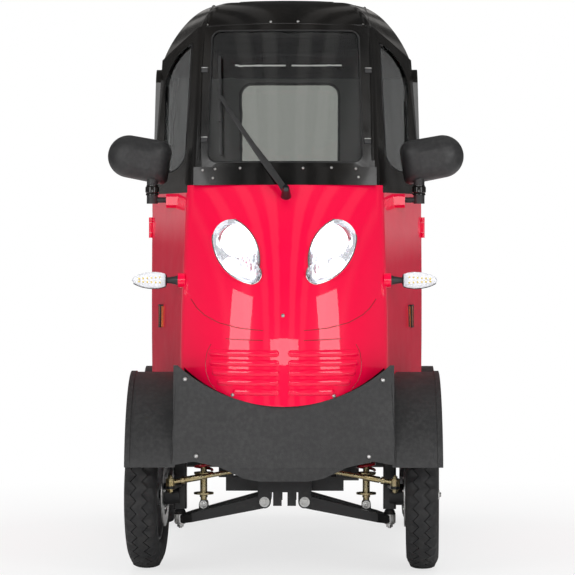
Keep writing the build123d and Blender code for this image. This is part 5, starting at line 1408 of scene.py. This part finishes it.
# Round the lid's frame, as shares of its half width and height.
LID_RIM = [
    (-1, 0), (-1, 0.33), (-1, 0.66), (-1, 1), (-0.5, 1), (0, 1), (0.5, 1), (1, 1), (1, 0.66), (1, 0.33), (1, 0),
    (0.5, 0), (0, 0), (-0.5, 0),
]
LID_FRAME_TOP = 1.031
REFLECTOR_DOME = [(0, 7.5), (11, 7), (18.5, 5), (20.5, 2.5), (20.5, -2), (0, -2)]
REFLECTOR_RIM = [(20.5, -2), (23.5, -2), (23.5, 4), (20.5, 5), (20.5, -2)]


def from_behind(node, x, z):
    """Where a node is met from behind the car."""
    return dropped_on(node, (x, 2, z), AHEAD)


def make_rear_details():
    """A lock and pull on the lid, a rubber seal in its frame, and two round reflectors."""
    metal, feet, lenses, rims = (bmesh.new() for _ in range(4))
    place, normal = from_behind("trunk_lid", 0, 0.60)
    add_turned(metal, LOCK_FACE, facing(place, normal), 28)
    finished("lid_lock", metal, "bright_steel", "trunk_lid")
    ends = [from_behind("trunk_lid", x, PULL_Z)[0] for x in (-PULL_X, PULL_X)]
    near, far = ends[0] + Vector((0.002, PULL_REACH, 0)), ends[1] + Vector((-0.002, PULL_REACH, 0))
    grip = [ends[0], near, near.lerp(far, 0.5), far, ends[1]]
    tube("lid_pull", grip, 0.0065, "grained_plastic", "trunk_lid", smooth=True)
    for spot in ends:
        add_turned(feet, PULL_FOOT, facing(spot, normal), 20)
    finished("lid_pull_feet", feet, "grained_plastic", "trunk_lid")
    low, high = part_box("trunk_lid")
    edge = []
    for x, z in LID_RIM:
        height = low.z + z * (LID_FRAME_TOP - low.z) + {0: -0.003, 1: 0.004}.get(z, 0)
        edge.append(from_behind("rear_body", x * (high.x + 0.003), height)[0])
    tube("lid_seal", [place for place in edge if place is not None], 0.0042, "soft_rubber", closed=True)
    for sign in SIDES.values():
        place, normal = from_behind("rear_body", sign * 0.335, 0.60)
        if place is not None:
            add_turned(lenses, REFLECTOR_DOME, facing(place, normal), 36)
            add_turned(rims, REFLECTOR_RIM, facing(place, normal), 36)
    finished("rear_reflectors", lenses, "tail_red_lens")
    finished("rear_reflector_rims", rims, "bright_steel")


MIRROR_STALK = (0.382, -0.414)
MIRROR_NECK = [
    (15, 1052), (18.5, 1052), (18.5, 1056), (17.2, 1058), (19.8, 1061), (19.8, 1074), (18.5, 1077), (16.8, 1078),
    (16.8, 1081), (15, 1081), (15, 1052),
]


def make_mirror_necks():
    """A gloss ring and a ribbed sleeve on each mirror's stalk."""
    bm = bmesh.new()
    for sign in SIDES.values():
        add_turned(bm, MIRROR_NECK, Matrix.Translation((sign * MIRROR_STALK[0], MIRROR_STALK[1], 0)), 32)
    finished("mirror_necks", bm, "roof_gloss")


bpy.context.scene.view_settings.view_transform = "Standard"
make_camera()
make_lights()
make_world()
make_floor()
dress_nodes()
make_tyres()
make_springs()
make_gaskets()
make_lamp_buckets()
make_lamp_bowls()
make_indicators()
make_screws()
make_wiper()
make_suspension_fittings()
make_brakes()
make_roof_trim()
make_painted_crease_shades_and_seams()
make_wheel_hardware()
make_rod_hardware()
make_handlebar_controls()
make_cabin_details()
make_door_seals()
make_rear_details()
make_mirror_necks()
make_seat()
